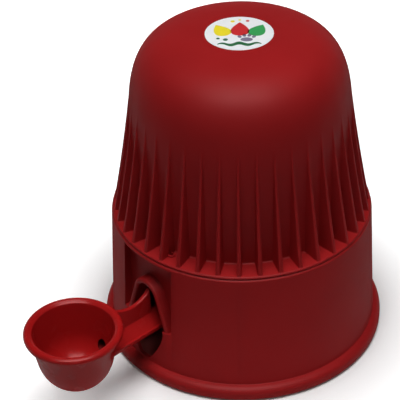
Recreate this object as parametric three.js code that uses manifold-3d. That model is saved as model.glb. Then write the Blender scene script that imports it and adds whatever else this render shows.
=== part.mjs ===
// Gravity-fed pet drinker: a ribbed hood over an inverted water tank, on a round base.
// An arm with a drinking cup reaches out through a window in the base.
// Millimetres, +Z up. The base's axis is Z, the floor is z = 0 and the cup lies towards -Y.

import * as THREE from 'three';
import { mergeVertices } from 'three/addons/utils/BufferGeometryUtils.js';
import Module from 'manifold-3d';

const wasm = await Module();
wasm.setup();

// Fits shared by all pieces
const GAP = 0.3;                    // air between two pieces that touch
const OVERRUN = 2;                  // how far a cutter runs past what it cuts
const SINK = 1.2;                   // how far a rib, web or boss is buried in its wall

// Facets
const BODY_STEPS = 64;              // round the base and the hood
const VESSEL_STEPS = 48;            // round the tank and the tray
const CUP_STEPS = 36;
const SMALL_STEPS = 16;
const ROUND_STEPS = 3;              // along a rounded edge
const CURVE_STEPS = 7;              // along a window or fin curve
const CROWN_STEPS = 8;              // from the side of a dome or cup to its middle

// Foot and skirt of the base
const FOOT_RADIUS = 125;
const FOOT_HEIGHT = 13.7;
const FOOT_LIP_WALL = 6;
const FOOT_WEB = 3.5;
const FOOT_EDGE_ROUND = 3.5;
const FOOT_TOP_RISE = 1;
const FOOT_LEDGE = 6.7;             // from the foot's edge in to the skirt, all of it one round
const SKIRT_DRAFT = 5.3;            // how much the skirt narrows towards its rim
const SKIRT_WALL = 2.6;
const RIM_ROUND = 2.2;
const RIM_ABOVE_DECK = 11.4;

// Niche, arch and window for the arm
const NICHE_WIDTH = 59;
const NICHE_DEPTH = 9.5;
const NICHE_WALL = 2.6;
const NICHE_BELOW_DUCT = 2.5;
const ARCH_BEAD = 5;
const ARCH_STAND = 9.7;             // how far the arch stands out of the niche's panel
const ARCH_ROUND = 1.8;
const WINDOW_TOP_RADIUS = 10.5;
const WINDOW_ABOVE_DUCT = 35.5;
const WINDOW_HALF_WIDTH = 21.3;
const WINDOW_SHOULDER_DROP = 4.5;   // widest point, below the duct's axis
const WINDOW_TURN_DROP = 14;        // from the widest point down to the curve's corner
const WINDOW_SILL_HALF_WIDTH = 5.5;
const WINDOW_SILL = 1;              // above the foot's top

// Pillars that carry the tray, and the rubber feet in them
const PILLAR_COUNT = 4;
const PILLAR_START_ANGLE = Math.PI / 4;
const PILLAR_RADIUS = 5;
const PILLAR_STANDOFF = 1.4;
const PILLAR_WEB = 2.4;
const PILOT_DEPTH = 15;
const RUBBER_FOOT_RADIUS = 8;
const RUBBER_FOOT_HEIGHT = 4.7;
const RUBBER_FOOT_ROUND = 1;
const RUBBER_STUD_RADIUS = 3;
const RUBBER_STUD_LENGTH = 7;

// Tray screws
const SCREW_SHANK_RADIUS = 1.6;
const SCREW_HEAD_RADIUS = 3.2;
const SCREW_HEAD_HEIGHT = 1.6;
const SCREW_LENGTH = 13;
const SCREW_RECESS_WIDTH = 0.8;
const SCREW_RECESS_DEPTH = 0.8;

// Water tray: well, sump, valve pin, funnel and deck
const TRAY_WALL = 2.6;
const WELL_FLOOR_HEIGHT = 44;
const WELL_MARGIN = 15.7;           // between the cap and the well's wall
const SUMP_RADIUS = 14;
const PIN_RADIUS = 3;
const DECK_CLEARANCE = 0.8;
const FUNNEL_MARGIN = 4;            // funnel's mouth past the tank's side
const SOCKET_LENGTH = 18;
const SOCKET_WALL = 2.6;

// Duct, arm and cup
const DUCT_ABOVE_FLOOR = 10.5;      // duct's axis above the well's floor
const DUCT_RADIUS = 4.2;
const SPIGOT_RADIUS = 6.6;
const SPIGOT_TIP_SETBACK = 2;       // tip of the spigot from the well's inside
const SEAL_SECTION = 0.9;           // radius of the seal's round section
const SEAL_GROOVE_DEPTH = 1.2;
const SEAL_GROOVE_SETBACK = 5;      // groove's middle from the spigot's tip
const ARM_HALF_WIDTH = 12;
const ARM_ROOF_ABOVE_DUCT = 7.8;
const ARM_EAVE_BELOW_DUCT = 4;
const ARM_FLOOR_BELOW_DUCT = 5.8;
const ARM_LIP_BELOW_DUCT = 7.1;
const ARM_LIP_WIDTH = 2.5;
const FIN_THICKNESS = 4;
const FIN_INSET = 4;                // fin's inner end, inside the skirt's rim
const FIN_END_ABOVE_DUCT = 30.3;
const FIN_SADDLE_ABOVE_DUCT = 13.5;
const CUP_STANDOFF = 77.5;          // cup's axis from the skirt's rim
const CUP_RADIUS = 41;
const CUP_RIM_ABOVE_DUCT = 35.3;
const CUP_RIM_SECTION = 3.6;        // radius of the rolled rim's section
const CUP_RIM_INNER_DROP = 2.3;
const CUP_SIDE_INSET = 5;           // top of the flared side in from the rim's edge
const CUP_SIDE_HEIGHT = 27.8;       // flared side, from the rim's top down to the round bowl
const CUP_CURVE_INSET = 8.8;        // bowl's curve at its widest, in from the rim's edge
const CUP_CURVE_DROP = 19.8;        // bowl's curve at its widest, below the rim's top
const CUP_CURVE_DEPTH = 38.4;       // from there to the cup's underside
const CUP_CURVE_POWER = 2.15;       // 2 is an ellipse, more is fuller
const CUP_WALL = 2.8;

// Tank
const NECK_RADIUS = 25;
const NECK_LENGTH = 13;
const TANK_WALL = 1.8;
const NECK_WALL = 3;
const SHOULDER_RISE = 21;
const TANK_SIDE_CLEARANCE = 9.2;    // between the tank and the hood
const TANK_HEADROOM = 31.5;         // between the tank's top and the hood
const TANK_TOP_ROUND = 24;

// Cap and valve
const LEVEL_ABOVE_DUCT = 11.5;      // cap's lip, which sets the water level
const CAP_WALL = 3;
const CAP_LIP_DEPTH = 3.3;
const CAP_DISC = 2.7;
const CAP_GRIP = 11.7;              // cap's wall above the neck's end
const GASKET_THICKNESS = 2;
const GASKET_WIDTH = 5.5;
const HUB_WALL = 0.9;
const HUB_LENGTH = 5;
const PORT_COUNT = 6;
const PORT_RADIUS = 2.8;
const PORT_CIRCLE_RADIUS = 9;
const STEM_RADIUS = 1.9;
const HEAD_RADIUS = 15;
const HEAD_THICKNESS = 2.5;
const VALVE_LIFT = 6;
const VALVE_SEAL_RADIUS = 14;
const VALVE_SEAL_THICKNESS = 2;
const RETAINER_RADIUS = 5.4;
const RETAINER_THICKNESS = 2.4;
const SPRING_LENGTH = 8;            // with the valve held open
const SPRING_RADIUS = 4.2;          // to the wire's middle
const SPRING_WIRE_RADIUS = 0.4;
const SPRING_TURNS = 4;
const SPRING_STEPS_PER_TURN = 8;
const SPRING_SIDES = 5;

// Hood
const LEDGE_WIDTH = 19.3;           // from the flange's edge in to the hood's wall
const FLANGE_THICKNESS = 2.6;
const FLANGE_ROUND = 1.2;
const HOOD_WALL = 2.5;
const HOOD_STRAIGHT = 31.9;         // upright wall above the ledge
const DOME_HEIGHT = 130.2;
const DOME_UP_POWER = 4.8;          // fullness of the dome's curve, upwards
const DOME_OUT_POWER = 4.825;       // fullness of the dome's curve, outwards
const HOOD_LIP_DEPTH = 8;
const HOOD_LIP_WALL = 2.2;
const HOOD_LIP_CLEARANCE = 0.5;
const RIB_COUNT = 40;
const RIB_THICKNESS = 2.8;
const RIB_FOOT_INSET = 2.2;         // rib's foot in from the flange's edge
const RIB_HEIGHT = 115;
const RIB_TIP_SINK = 2.9;           // rib's upper tip, inside the hood's side
const RIB_HOLLOW = 0.95;            // how far a rib's edge bows inwards
const VENT_COUNT = 2;
const VENT_ANGLE = THREE.MathUtils.degToRad(-79.2);
const VENT_INSET = 13;              // vent's axis in from the flange's edge
const VENT_RADIUS = 1.7;
const VENT_BOSS_RADIUS = 3.2;
const VENT_BOSS_HEIGHT = 1.6;
const LABEL_RADIUS = 27.9;
const LABEL_THICKNESS = 0.4;
const LABEL_RECESS = 0.6;

// Radii and distances from the axis that follow from the sizes above
const skirtFootRadius = FOOT_RADIUS - FOOT_LEDGE;
const rimRadius = skirtFootRadius - SKIRT_DRAFT;
const rimInnerRadius = rimRadius - SKIRT_WALL;
const panelDistance = rimRadius - NICHE_DEPTH;
const archFront = panelDistance + ARCH_STAND;
const pillarCircle = rimInnerRadius - PILLAR_STANDOFF - PILLAR_RADIUS;
const hoodRadius = rimRadius - LEDGE_WIDTH;
const tankRadius = hoodRadius - HOOD_WALL - TANK_SIDE_CLEARANCE;
const funnelRadius = tankRadius + FUNNEL_MARGIN;
const capInnerRadius = NECK_RADIUS + GAP;
const capRadius = capInnerRadius + CAP_WALL;
const wellRadius = capRadius + WELL_MARGIN;
const deckRadius = rimInnerRadius - DECK_CLEARANCE;
const socketMouth = wellRadius + SOCKET_LENGTH;
const grooveRadius = SPIGOT_RADIUS - SEAL_GROOVE_DEPTH;
const sealRadius = grooveRadius + GAP + SEAL_SECTION;
const socketRadius = sealRadius + SEAL_SECTION + GAP;
const spigotTip = wellRadius + SPIGOT_TIP_SETBACK;
const cupDistance = rimRadius + CUP_STANDOFF;
const cupCurveRadius = CUP_RADIUS - CUP_CURVE_INSET;
const hubBoreRadius = STEM_RADIUS + GAP;
const screwHoleRadius = SCREW_SHANK_RADIUS + GAP;

// Heights that follow from the sizes above, from the floor up
const skirtFoot = FOOT_HEIGHT + FOOT_TOP_RISE;
const ductHeight = WELL_FLOOR_HEIGHT + DUCT_ABOVE_FLOOR;
const nicheFloor = ductHeight - NICHE_BELOW_DUCT;
const windowTop = ductHeight + WINDOW_ABOVE_DUCT;
const windowShoulder = ductHeight - WINDOW_SHOULDER_DROP;
const cupRimTop = ductHeight + CUP_RIM_ABOVE_DUCT;
const cupCurveTop = cupRimTop - CUP_CURVE_DROP;
const cupSideFoot = cupRimTop - CUP_SIDE_HEIGHT;
const capLip = ductHeight + LEVEL_ABOVE_DUCT;
const discUnderside = capLip + CAP_LIP_DEPTH;
const discTop = discUnderside + CAP_DISC;
const gasketTop = discTop + GAP + GASKET_THICKNESS;
const neckEnd = gasketTop + GAP;
const capTop = neckEnd + CAP_GRIP;
const shoulderFoot = neckEnd + NECK_LENGTH;
const shoulderSlope = SHOULDER_RISE / (tankRadius - NECK_RADIUS);
const shoulderTop = shoulderFoot + SHOULDER_RISE;
const funnelDrop = GAP * Math.hypot(shoulderSlope, 1);
const funnelHeight = (radius) => shoulderFoot + (radius - NECK_RADIUS) * shoulderSlope - funnelDrop;
const deckTop = funnelHeight(funnelRadius);
const deckUnderside = deckTop - TRAY_WALL;
const rimTop = deckTop + RIM_ABOVE_DECK;
const pillarTop = deckUnderside - GAP;
const pillarFoot = RUBBER_FOOT_HEIGHT + GAP;
const springTop = discUnderside - GAP;
const springFoot = springTop - SPRING_LENGTH;
const retainerTop = springFoot - GAP;
const stemFoot = retainerTop - RETAINER_THICKNESS;
const pinTop = stemFoot - GAP;
const valveSealFoot = discTop + GAP + VALVE_LIFT;
const headFoot = valveSealFoot + VALVE_SEAL_THICKNESS + GAP;
const flangeUnderside = rimTop + GAP;
const ledge = flangeUnderside + FLANGE_THICKNESS;
const domeFoot = ledge + HOOD_STRAIGHT;
const hoodTop = domeFoot + DOME_HEIGHT;
const hoodInnerTop = hoodTop - LABEL_RECESS - HOOD_WALL;
const tankTop = hoodInnerTop - TANK_HEADROOM;

// Finishes
const FINISHES = {
  redPlastic: { color: 0x8c1618, roughness: 0.55, metalness: 0 },
  redTray: { color: 0x7c1416, roughness: 0.6, metalness: 0 },
  clearPlastic: { color: 0xd9e4ea, roughness: 0.25, metalness: 0 },
  whitePlastic: { color: 0xe9e9e6, roughness: 0.45, metalness: 0 },
  rubber: { color: 0x2a2a2c, roughness: 0.9, metalness: 0 },
  silicone: { color: 0xc9ccc8, roughness: 0.7, metalness: 0 },
  steel: { color: 0xb4b6b8, roughness: 0.3, metalness: 1 },
  label: { color: 0xf2f2f4, roughness: 0.35, metalness: 0 },
};

// A closed, outward-facing solid from a three.js geometry
function solid(geometry) {
  geometry.deleteAttribute('normal');
  geometry.deleteAttribute('uv');
  const merged = mergeVertices(geometry);
  const place = merged.getAttribute('position');
  const corners = Array.from(merged.index.array);
  const kept = [];
  let volume = 0;
  const point = [new THREE.Vector3(), new THREE.Vector3(), new THREE.Vector3()];
  for (let i = 0; i < corners.length; i += 3) {
    const [a, b, c] = corners.slice(i, i + 3);
    if (a === b || b === c || c === a) continue;
    kept.push(a, b, c);
    [a, b, c].forEach((corner, k) => point[k].fromBufferAttribute(place, corner));
    volume += point[0].dot(point[1].cross(point[2]));
  }
  if (volume < 0) {
    for (let i = 0; i < kept.length; i += 3) [kept[i], kept[i + 1]] = [kept[i + 1], kept[i]];
  }
  return new wasm.Manifold(new wasm.Mesh({
    numProp: 3,
    vertProperties: Float32Array.from(place.array),
    triVerts: Uint32Array.from(kept),
  }));
}

const join = (solids) => solids.reduce((whole, next) => whole.add(next));
const cut = (body, cutters) => cutters.reduce((rest, cutter) => rest.subtract(cutter), body);

// A solid of revolution about Z through (x, y), from its [radius, height] outline
function turned(outline, steps, x = 0, y = 0) {
  const points = outline.map(([radius, height]) => new THREE.Vector2(radius, height));
  points.push(points[0].clone());
  const geometry = new THREE.LatheGeometry(points, steps);
  return solid(geometry.rotateX(Math.PI / 2).translate(x, y, 0));
}

// A cylinder along Z between two heights
const column = (radius, foot, top, x = 0, y = 0, steps = SMALL_STEPS) =>
  turned([[0, foot], [radius, foot], [radius, top], [0, top]], steps, x, y);

// A cylinder along the arm, between two distances from the axis
function rod(radius, near, far) {
  const geometry = new THREE.CylinderGeometry(radius, radius, far - near, SMALL_STEPS);
  return solid(geometry.translate(0, -(near + far) / 2, ductHeight));
}

function block(x0, x1, y0, y1, z0, z1) {
  const geometry = new THREE.BoxGeometry(x1 - x0, y1 - y0, z1 - z0);
  return solid(geometry.translate((x0 + x1) / 2, (y0 + y1) / 2, (z0 + z1) / 2));
}

// An upright outline pushed out along the arm, between two distances from the axis
function alongArm(shape, near, far, bevel = 0) {
  const geometry = new THREE.ExtrudeGeometry(shape, {
    depth: far - near - bevel,
    curveSegments: CURVE_STEPS,
    bevelEnabled: bevel > 0,
    bevelThickness: bevel,
    bevelSize: bevel,
    bevelOffset: -bevel,
    bevelSegments: ROUND_STEPS,
  });
  return solid(geometry.translate(0, 0, near).rotateX(Math.PI / 2));
}

// Points of an arc about (radius, height), both ends included
function arc(radius, height, size, from, to, steps = ROUND_STEPS) {
  return Array.from({ length: steps + 1 }, (_, i) => {
    const angle = from + (to - from) * i / steps;
    return [radius + size * Math.cos(angle), height + size * Math.sin(angle)];
  });
}

// Points of a quarter of a superellipse from its side to its crown, closer together at both ends
function quarter(radius, foot, rise, outPower, upPower, steps) {
  return Array.from({ length: steps + 1 }, (_, i) => {
    const angle = Math.PI / 4 * (1 - Math.cos(Math.PI * i / steps));
    const out = i === steps ? 0 : Math.cos(angle) ** (2 / outPower);
    return [radius * out, foot + rise * Math.sin(angle) ** (2 / upPower)];
  });
}

const around = (count, start = 0) =>
  Array.from({ length: count }, (_, i) => start + 2 * Math.PI * i / count);

const polar = (radius, angle) => [radius * Math.cos(angle), radius * Math.sin(angle)];

// The window's outline, or the arch round it when it is widened
function archShape(widen) {
  const centre = windowTop - WINDOW_TOP_RADIUS;
  const drop = windowShoulder - centre;
  const reach = Math.hypot(WINDOW_HALF_WIDTH, drop);
  const lean = Math.atan2(drop, WINDOW_HALF_WIDTH) + Math.acos(WINDOW_TOP_RADIUS / reach);
  const [outX, outZ] = polar(widen, lean);
  const shape = new THREE.Shape();
  shape.moveTo(WINDOW_HALF_WIDTH + outX, windowShoulder + outZ);
  shape.absarc(0, centre, WINDOW_TOP_RADIUS + widen, lean, Math.PI - lean, false);
  shape.lineTo(-WINDOW_HALF_WIDTH - outX, windowShoulder + outZ);
  return shape;
}

function windowShape() {
  const shape = archShape(0);
  const sill = skirtFoot + WINDOW_SILL;
  const turn = windowShoulder - WINDOW_TURN_DROP;
  shape.quadraticCurveTo(-WINDOW_HALF_WIDTH, turn, -WINDOW_SILL_HALF_WIDTH, sill);
  shape.lineTo(WINDOW_SILL_HALF_WIDTH, sill);
  shape.quadraticCurveTo(WINDOW_HALF_WIDTH, turn, WINDOW_HALF_WIDTH, windowShoulder);
  return shape;
}

// Outer outline of the base, from the floor to the rim
const skirtOutside = () => [
  ...arc(FOOT_RADIUS - FOOT_EDGE_ROUND, FOOT_EDGE_ROUND, FOOT_EDGE_ROUND, -Math.PI / 2, 0),
  ...arc(skirtFootRadius, FOOT_HEIGHT - FOOT_LEDGE, FOOT_LEDGE, 0, Math.PI / 2, 2 * ROUND_STEPS),
  [skirtFootRadius, skirtFoot],
  ...arc(rimRadius - RIM_ROUND, rimTop - RIM_ROUND, RIM_ROUND, 0, Math.PI / 2),
];

function baseSkirt() {
  const shell = turned([
    [FOOT_RADIUS - FOOT_LIP_WALL, 0],
    ...skirtOutside(),
    [rimInnerRadius, rimTop],
    [skirtFootRadius - SKIRT_WALL, FOOT_HEIGHT - FOOT_WEB],
    [FOOT_RADIUS - FOOT_LIP_WALL, FOOT_HEIGHT - FOOT_WEB],
  ], BODY_STEPS);
  const filled = turned([[0, 0], ...skirtOutside(), [0, rimTop]], BODY_STEPS);
  const half = NICHE_WIDTH / 2;
  const outside = -FOOT_RADIUS - OVERRUN;
  const housing = block(-half - NICHE_WALL, half + NICHE_WALL, outside, NICHE_WALL - panelDistance,
    nicheFloor - NICHE_WALL, rimTop).intersect(filled);
  const pocket = block(-half, half, outside, -panelDistance, nicheFloor, rimTop + OVERRUN);
  const arch = alongArm(archShape(ARCH_BEAD), panelDistance - SINK, archFront, ARCH_ROUND);
  const window = alongArm(windowShape(), panelDistance - NICHE_WALL - OVERRUN, FOOT_RADIUS + OVERRUN);

  const pillars = [];
  const bores = [];
  const webHalf = PILLAR_WEB / 2;
  for (const angle of around(PILLAR_COUNT, PILLAR_START_ANGLE)) {
    const [x, y] = polar(pillarCircle, angle);
    const web = block(pillarCircle, skirtFootRadius, -webHalf, webHalf, pillarFoot, pillarTop);
    const turnedWeb = web.rotate([0, 0, THREE.MathUtils.radToDeg(angle)]);
    pillars.push(column(PILLAR_RADIUS, pillarFoot, pillarTop, x, y), turnedWeb.intersect(filled));
    bores.push(column(screwHoleRadius, pillarTop - PILOT_DEPTH, pillarTop + OVERRUN, x, y));
    bores.push(column(RUBBER_STUD_RADIUS + GAP, pillarFoot - OVERRUN,
      pillarFoot + RUBBER_STUD_LENGTH + GAP, x, y));
  }
  return cut(join([cut(shell.add(housing), [pocket]), arch, ...pillars]), [window, ...bores]);
}

function rubberFoot(angle) {
  const round = RUBBER_FOOT_ROUND;
  return turned([
    [0, 0],
    ...arc(RUBBER_FOOT_RADIUS - round, round, round, -Math.PI / 2, 0),
    [RUBBER_FOOT_RADIUS, RUBBER_FOOT_HEIGHT],
    [RUBBER_STUD_RADIUS, RUBBER_FOOT_HEIGHT],
    [RUBBER_STUD_RADIUS, RUBBER_FOOT_HEIGHT + RUBBER_STUD_LENGTH],
    [0, RUBBER_FOOT_HEIGHT + RUBBER_STUD_LENGTH],
  ], SMALL_STEPS, ...polar(pillarCircle, angle));
}

function trayScrew(angle) {
  const [x, y] = polar(pillarCircle, angle);
  const seat = deckTop + GAP;
  const head = seat + SCREW_HEAD_HEIGHT;
  const screw = turned([
    [0, seat - SCREW_LENGTH],
    [SCREW_SHANK_RADIUS, seat - SCREW_LENGTH],
    [SCREW_SHANK_RADIUS, seat],
    [SCREW_HEAD_RADIUS, seat],
    [SCREW_HEAD_RADIUS, head],
    [0, head],
  ], SMALL_STEPS, x, y);
  const reach = SCREW_HEAD_RADIUS - SCREW_RECESS_DEPTH;
  const wide = SCREW_RECESS_WIDTH / 2;
  const foot = head - SCREW_RECESS_DEPTH;
  return cut(screw, [
    block(x - reach, x + reach, y - wide, y + wide, foot, head + OVERRUN),
    block(x - wide, x + wide, y - reach, y + reach, foot, head + OVERRUN),
  ]);
}

function waterTray() {
  const wellOutside = wellRadius + TRAY_WALL;
  const sumpOutside = SUMP_RADIUS + TRAY_WALL;
  const bowl = turned([
    [0, 0],
    [sumpOutside, 0],
    [sumpOutside, WELL_FLOOR_HEIGHT - TRAY_WALL],
    [wellOutside, WELL_FLOOR_HEIGHT - TRAY_WALL],
    [wellOutside, funnelHeight(wellOutside) - TRAY_WALL],
    [funnelRadius, deckUnderside],
    [deckRadius, deckUnderside],
    [deckRadius, deckTop],
    [funnelRadius, deckTop],
    [wellRadius, funnelHeight(wellRadius)],
    [wellRadius, WELL_FLOOR_HEIGHT],
    [SUMP_RADIUS, WELL_FLOOR_HEIGHT],
    [SUMP_RADIUS, TRAY_WALL],
    [PIN_RADIUS, TRAY_WALL],
    [PIN_RADIUS, pinTop],
    [0, pinTop],
  ], VESSEL_STEPS);
  const half = NICHE_WIDTH / 2 + NICHE_WALL + DECK_CLEARANCE;
  const notch = block(-half, half, -deckRadius - OVERRUN, NICHE_WALL + DECK_CLEARANCE - panelDistance,
    deckUnderside - OVERRUN, deckTop + OVERRUN);
  const socket = rod(socketRadius + SOCKET_WALL, wellRadius + SINK, socketMouth);
  const bore = rod(socketRadius, wellRadius - OVERRUN, socketMouth + OVERRUN);
  const holes = around(PILLAR_COUNT, PILLAR_START_ANGLE).map((angle) =>
    column(screwHoleRadius, deckUnderside - OVERRUN, deckTop + OVERRUN, ...polar(pillarCircle, angle)));
  return cut(bowl.add(socket), [notch, bore, ...holes]);
}

// Cross-section of the arm: a ridged roof over the duct, with two lips below
function armShape() {
  const lip = ductHeight - ARM_LIP_BELOW_DUCT;
  const floor = ductHeight - ARM_FLOOR_BELOW_DUCT;
  const eave = ductHeight - ARM_EAVE_BELOW_DUCT;
  const inner = ARM_HALF_WIDTH - ARM_LIP_WIDTH;
  return new THREE.Shape([
    [-ARM_HALF_WIDTH, lip], [-inner, lip], [-inner, floor], [inner, floor], [inner, lip],
    [ARM_HALF_WIDTH, lip], [ARM_HALF_WIDTH, eave], [0, ductHeight + ARM_ROOF_ABOVE_DUCT],
    [-ARM_HALF_WIDTH, eave],
  ].map(([x, z]) => new THREE.Vector2(x, z)));
}

// The upright fin over the arm, drawn against the distance from the axis
function armFin() {
  const near = rimRadius - FIN_INSET;
  const end = ductHeight + FIN_END_ABOVE_DUCT;
  const saddle = ductHeight + FIN_SADDLE_ABOVE_DUCT;
  const shape = new THREE.Shape();
  shape.moveTo(near, ductHeight);
  shape.lineTo(near, end);
  shape.quadraticCurveTo((near + cupDistance - CUP_RADIUS) / 2, saddle, cupDistance - CUP_RADIUS, end);
  shape.lineTo(cupDistance, end);
  shape.lineTo(cupDistance, ductHeight);
  const geometry = new THREE.ExtrudeGeometry(shape, {
    depth: FIN_THICKNESS,
    curveSegments: CURVE_STEPS,
    bevelEnabled: false,
  });
  geometry.translate(0, 0, -FIN_THICKNESS / 2).rotateX(Math.PI / 2).rotateZ(-Math.PI / 2);
  return solid(geometry);
}

function cupArm() {
  const rimMiddle = CUP_RADIUS - CUP_RIM_SECTION;
  const rimHeight = cupRimTop - CUP_RIM_SECTION;
  const crown = rimMiddle - CUP_RIM_SECTION;
  const bowlCurve = (radius, depth) =>
    quarter(radius, -cupCurveTop, depth, CUP_CURVE_POWER, CUP_CURVE_POWER, CROWN_STEPS)
      .map(([out, down]) => [out, -down])
      .filter(([, height]) => height < cupSideFoot);
  const outside = bowlCurve(cupCurveRadius, CUP_CURVE_DEPTH).reverse();
  const inside = bowlCurve(cupCurveRadius - CUP_WALL, CUP_CURVE_DEPTH - CUP_WALL);
  const body = turned([
    ...outside,
    [CUP_RADIUS - CUP_SIDE_INSET, rimHeight - CUP_RIM_SECTION],
    ...arc(rimMiddle, rimHeight, CUP_RIM_SECTION, -Math.PI / 2, Math.PI / 2, 2 * ROUND_STEPS),
    [crown, cupRimTop - CUP_RIM_INNER_DROP],
    [0, cupRimTop - CUP_RIM_INNER_DROP],
  ], CUP_STEPS, 0, -cupDistance);
  const bowl = turned([
    [0, cupRimTop + OVERRUN],
    [crown, cupRimTop + OVERRUN],
    [crown, cupRimTop - CUP_RIM_INNER_DROP],
    ...inside,
  ], CUP_STEPS, 0, -cupDistance);
  const shoulder = socketMouth + GAP;
  const arm = alongArm(armShape(), shoulder, cupDistance);
  const spigot = rod(SPIGOT_RADIUS, spigotTip, shoulder + SINK);
  const groove = spigotTip + SEAL_GROOVE_SETBACK;
  const grooveHalf = SEAL_SECTION + GAP;
  const grooveRing = cut(rod(SPIGOT_RADIUS + OVERRUN, groove - grooveHalf, groove + grooveHalf),
    [rod(grooveRadius, groove - grooveHalf - OVERRUN, groove + grooveHalf + OVERRUN)]);
  const duct = rod(DUCT_RADIUS, spigotTip - OVERRUN, cupDistance);
  return cut(join([body, arm, armFin(), spigot]), [bowl, grooveRing, duct]);
}

function spigotSeal() {
  const ring = new THREE.TorusGeometry(sealRadius, SEAL_SECTION, 2 * ROUND_STEPS, SMALL_STEPS);
  return solid(ring.rotateX(Math.PI / 2).translate(0, -spigotTip - SEAL_GROOVE_SETBACK, ductHeight));
}

function tankShell() {
  const round = TANK_TOP_ROUND;
  const topMiddle = tankTop - round;
  const inner = tankRadius - TANK_WALL;
  const neckInner = NECK_RADIUS - NECK_WALL;
  return turned([
    [neckInner, neckEnd],
    [NECK_RADIUS, neckEnd],
    [NECK_RADIUS, shoulderFoot],
    [tankRadius, shoulderTop],
    ...arc(tankRadius - round, topMiddle, round, 0, Math.PI / 2),
    [0, tankTop],
    [0, tankTop - TANK_WALL],
    ...arc(tankRadius - round, topMiddle, round - TANK_WALL, Math.PI / 2, 0),
    [inner, shoulderTop + TANK_WALL],
    [neckInner, shoulderFoot + TANK_WALL],
  ], VESSEL_STEPS);
}

function tankCap() {
  const disc = turned([
    [hubBoreRadius, discUnderside - HUB_LENGTH],
    [hubBoreRadius + HUB_WALL, discUnderside - HUB_LENGTH],
    [hubBoreRadius + HUB_WALL, discUnderside],
    [capInnerRadius, discUnderside],
    [capInnerRadius, capLip],
    [capRadius, capLip],
    [capRadius, capTop],
    [capInnerRadius, capTop],
    [capInnerRadius, discTop],
    [hubBoreRadius, discTop],
  ], CUP_STEPS);
  const ports = around(PORT_COUNT).map((angle) =>
    column(PORT_RADIUS, discUnderside - OVERRUN, discTop + OVERRUN, ...polar(PORT_CIRCLE_RADIUS, angle)));
  return cut(disc, ports);
}

// A flat ring about the axis
const washer = (inner, outer, foot, top, steps = SMALL_STEPS) =>
  turned([[inner, foot], [outer, foot], [outer, top], [inner, top]], steps);

const valveStem = () => turned([
  [0, stemFoot],
  [STEM_RADIUS, stemFoot],
  [STEM_RADIUS, headFoot],
  [HEAD_RADIUS, headFoot],
  [HEAD_RADIUS, headFoot + HEAD_THICKNESS],
  [0, headFoot + HEAD_THICKNESS],
], SMALL_STEPS);

// The spring's wire: straight up at both ends, wound in between
class SpringPath extends THREE.Curve {
  getPoint(share, target = new THREE.Vector3()) {
    const straight = 2 * SPRING_WIRE_RADIUS;
    const height = SPRING_LENGTH * share;
    const wound = THREE.MathUtils.clamp((height - straight) / (SPRING_LENGTH - 2 * straight), 0, 1);
    const [x, y] = polar(SPRING_RADIUS, 2 * Math.PI * SPRING_TURNS * wound);
    return target.set(x, y, springFoot + height);
  }
}

function springPoints() {
  const path = new SpringPath();
  const straightShare = 2 * SPRING_WIRE_RADIUS / SPRING_LENGTH;
  const woundShare = 1 - 2 * straightShare;
  const steps = SPRING_TURNS * SPRING_STEPS_PER_TURN;
  const shares = Array.from({ length: steps + 1 }, (_, i) => straightShare + woundShare * i / steps);
  return [0, ...shares, 1].map((share) => path.getPoint(share));
}

// Least distance between stretches of the wire that aren't neighbours, less the wire itself
function springSelfGap(points) {
  let least = Infinity;
  points.forEach((point, i) => points.slice(i + SPRING_STEPS_PER_TURN / 2).forEach((other) => {
    least = Math.min(least, point.distanceTo(other) - 2 * SPRING_WIRE_RADIUS);
  }));
  return least;
}

// The wire's tube: one ring of corners at each point, joined to the next
function valveSpring() {
  const points = springPoints();
  console.log('least gap of the spring to itself, mm:', springSelfGap(points).toFixed(2));
  const axis = new THREE.Vector3();
  const position = [];
  const index = [];
  points.forEach((point, ring) => {
    const last = points.length - 1;
    const ahead = points[Math.min(ring + 1, last)].clone().sub(points[Math.max(ring - 1, 0)]);
    const along = ring === 0 || ring === last ? new THREE.Vector3(0, 0, 1) : ahead.normalize();
    const out = point.clone().sub(axis.set(0, 0, point.z)).normalize();
    const side = new THREE.Vector3().crossVectors(along, out).normalize();
    const level = new THREE.Vector3().crossVectors(side, along);
    for (const angle of around(SPRING_SIDES)) {
      const [a, b] = polar(SPRING_WIRE_RADIUS, angle);
      position.push(...point.clone().addScaledVector(level, a).addScaledVector(side, b).toArray());
    }
  });
  const corner = (ring, k) => ring * SPRING_SIDES + k % SPRING_SIDES;
  for (let ring = 0; ring < points.length - 1; ring++) {
    for (let k = 0; k < SPRING_SIDES; k++) {
      index.push(corner(ring, k), corner(ring, k + 1), corner(ring + 1, k));
      index.push(corner(ring, k + 1), corner(ring + 1, k + 1), corner(ring + 1, k));
    }
  }
  for (let k = 1; k < SPRING_SIDES - 1; k++) {
    index.push(corner(0, 0), corner(0, k + 1), corner(0, k));
    index.push(corner(points.length - 1, 0), corner(points.length - 1, k), corner(points.length - 1, k + 1));
  }
  const geometry = new THREE.BufferGeometry();
  geometry.setAttribute('position', new THREE.Float32BufferAttribute(position, 3));
  geometry.setIndex(index);
  return solid(geometry);
}

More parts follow.
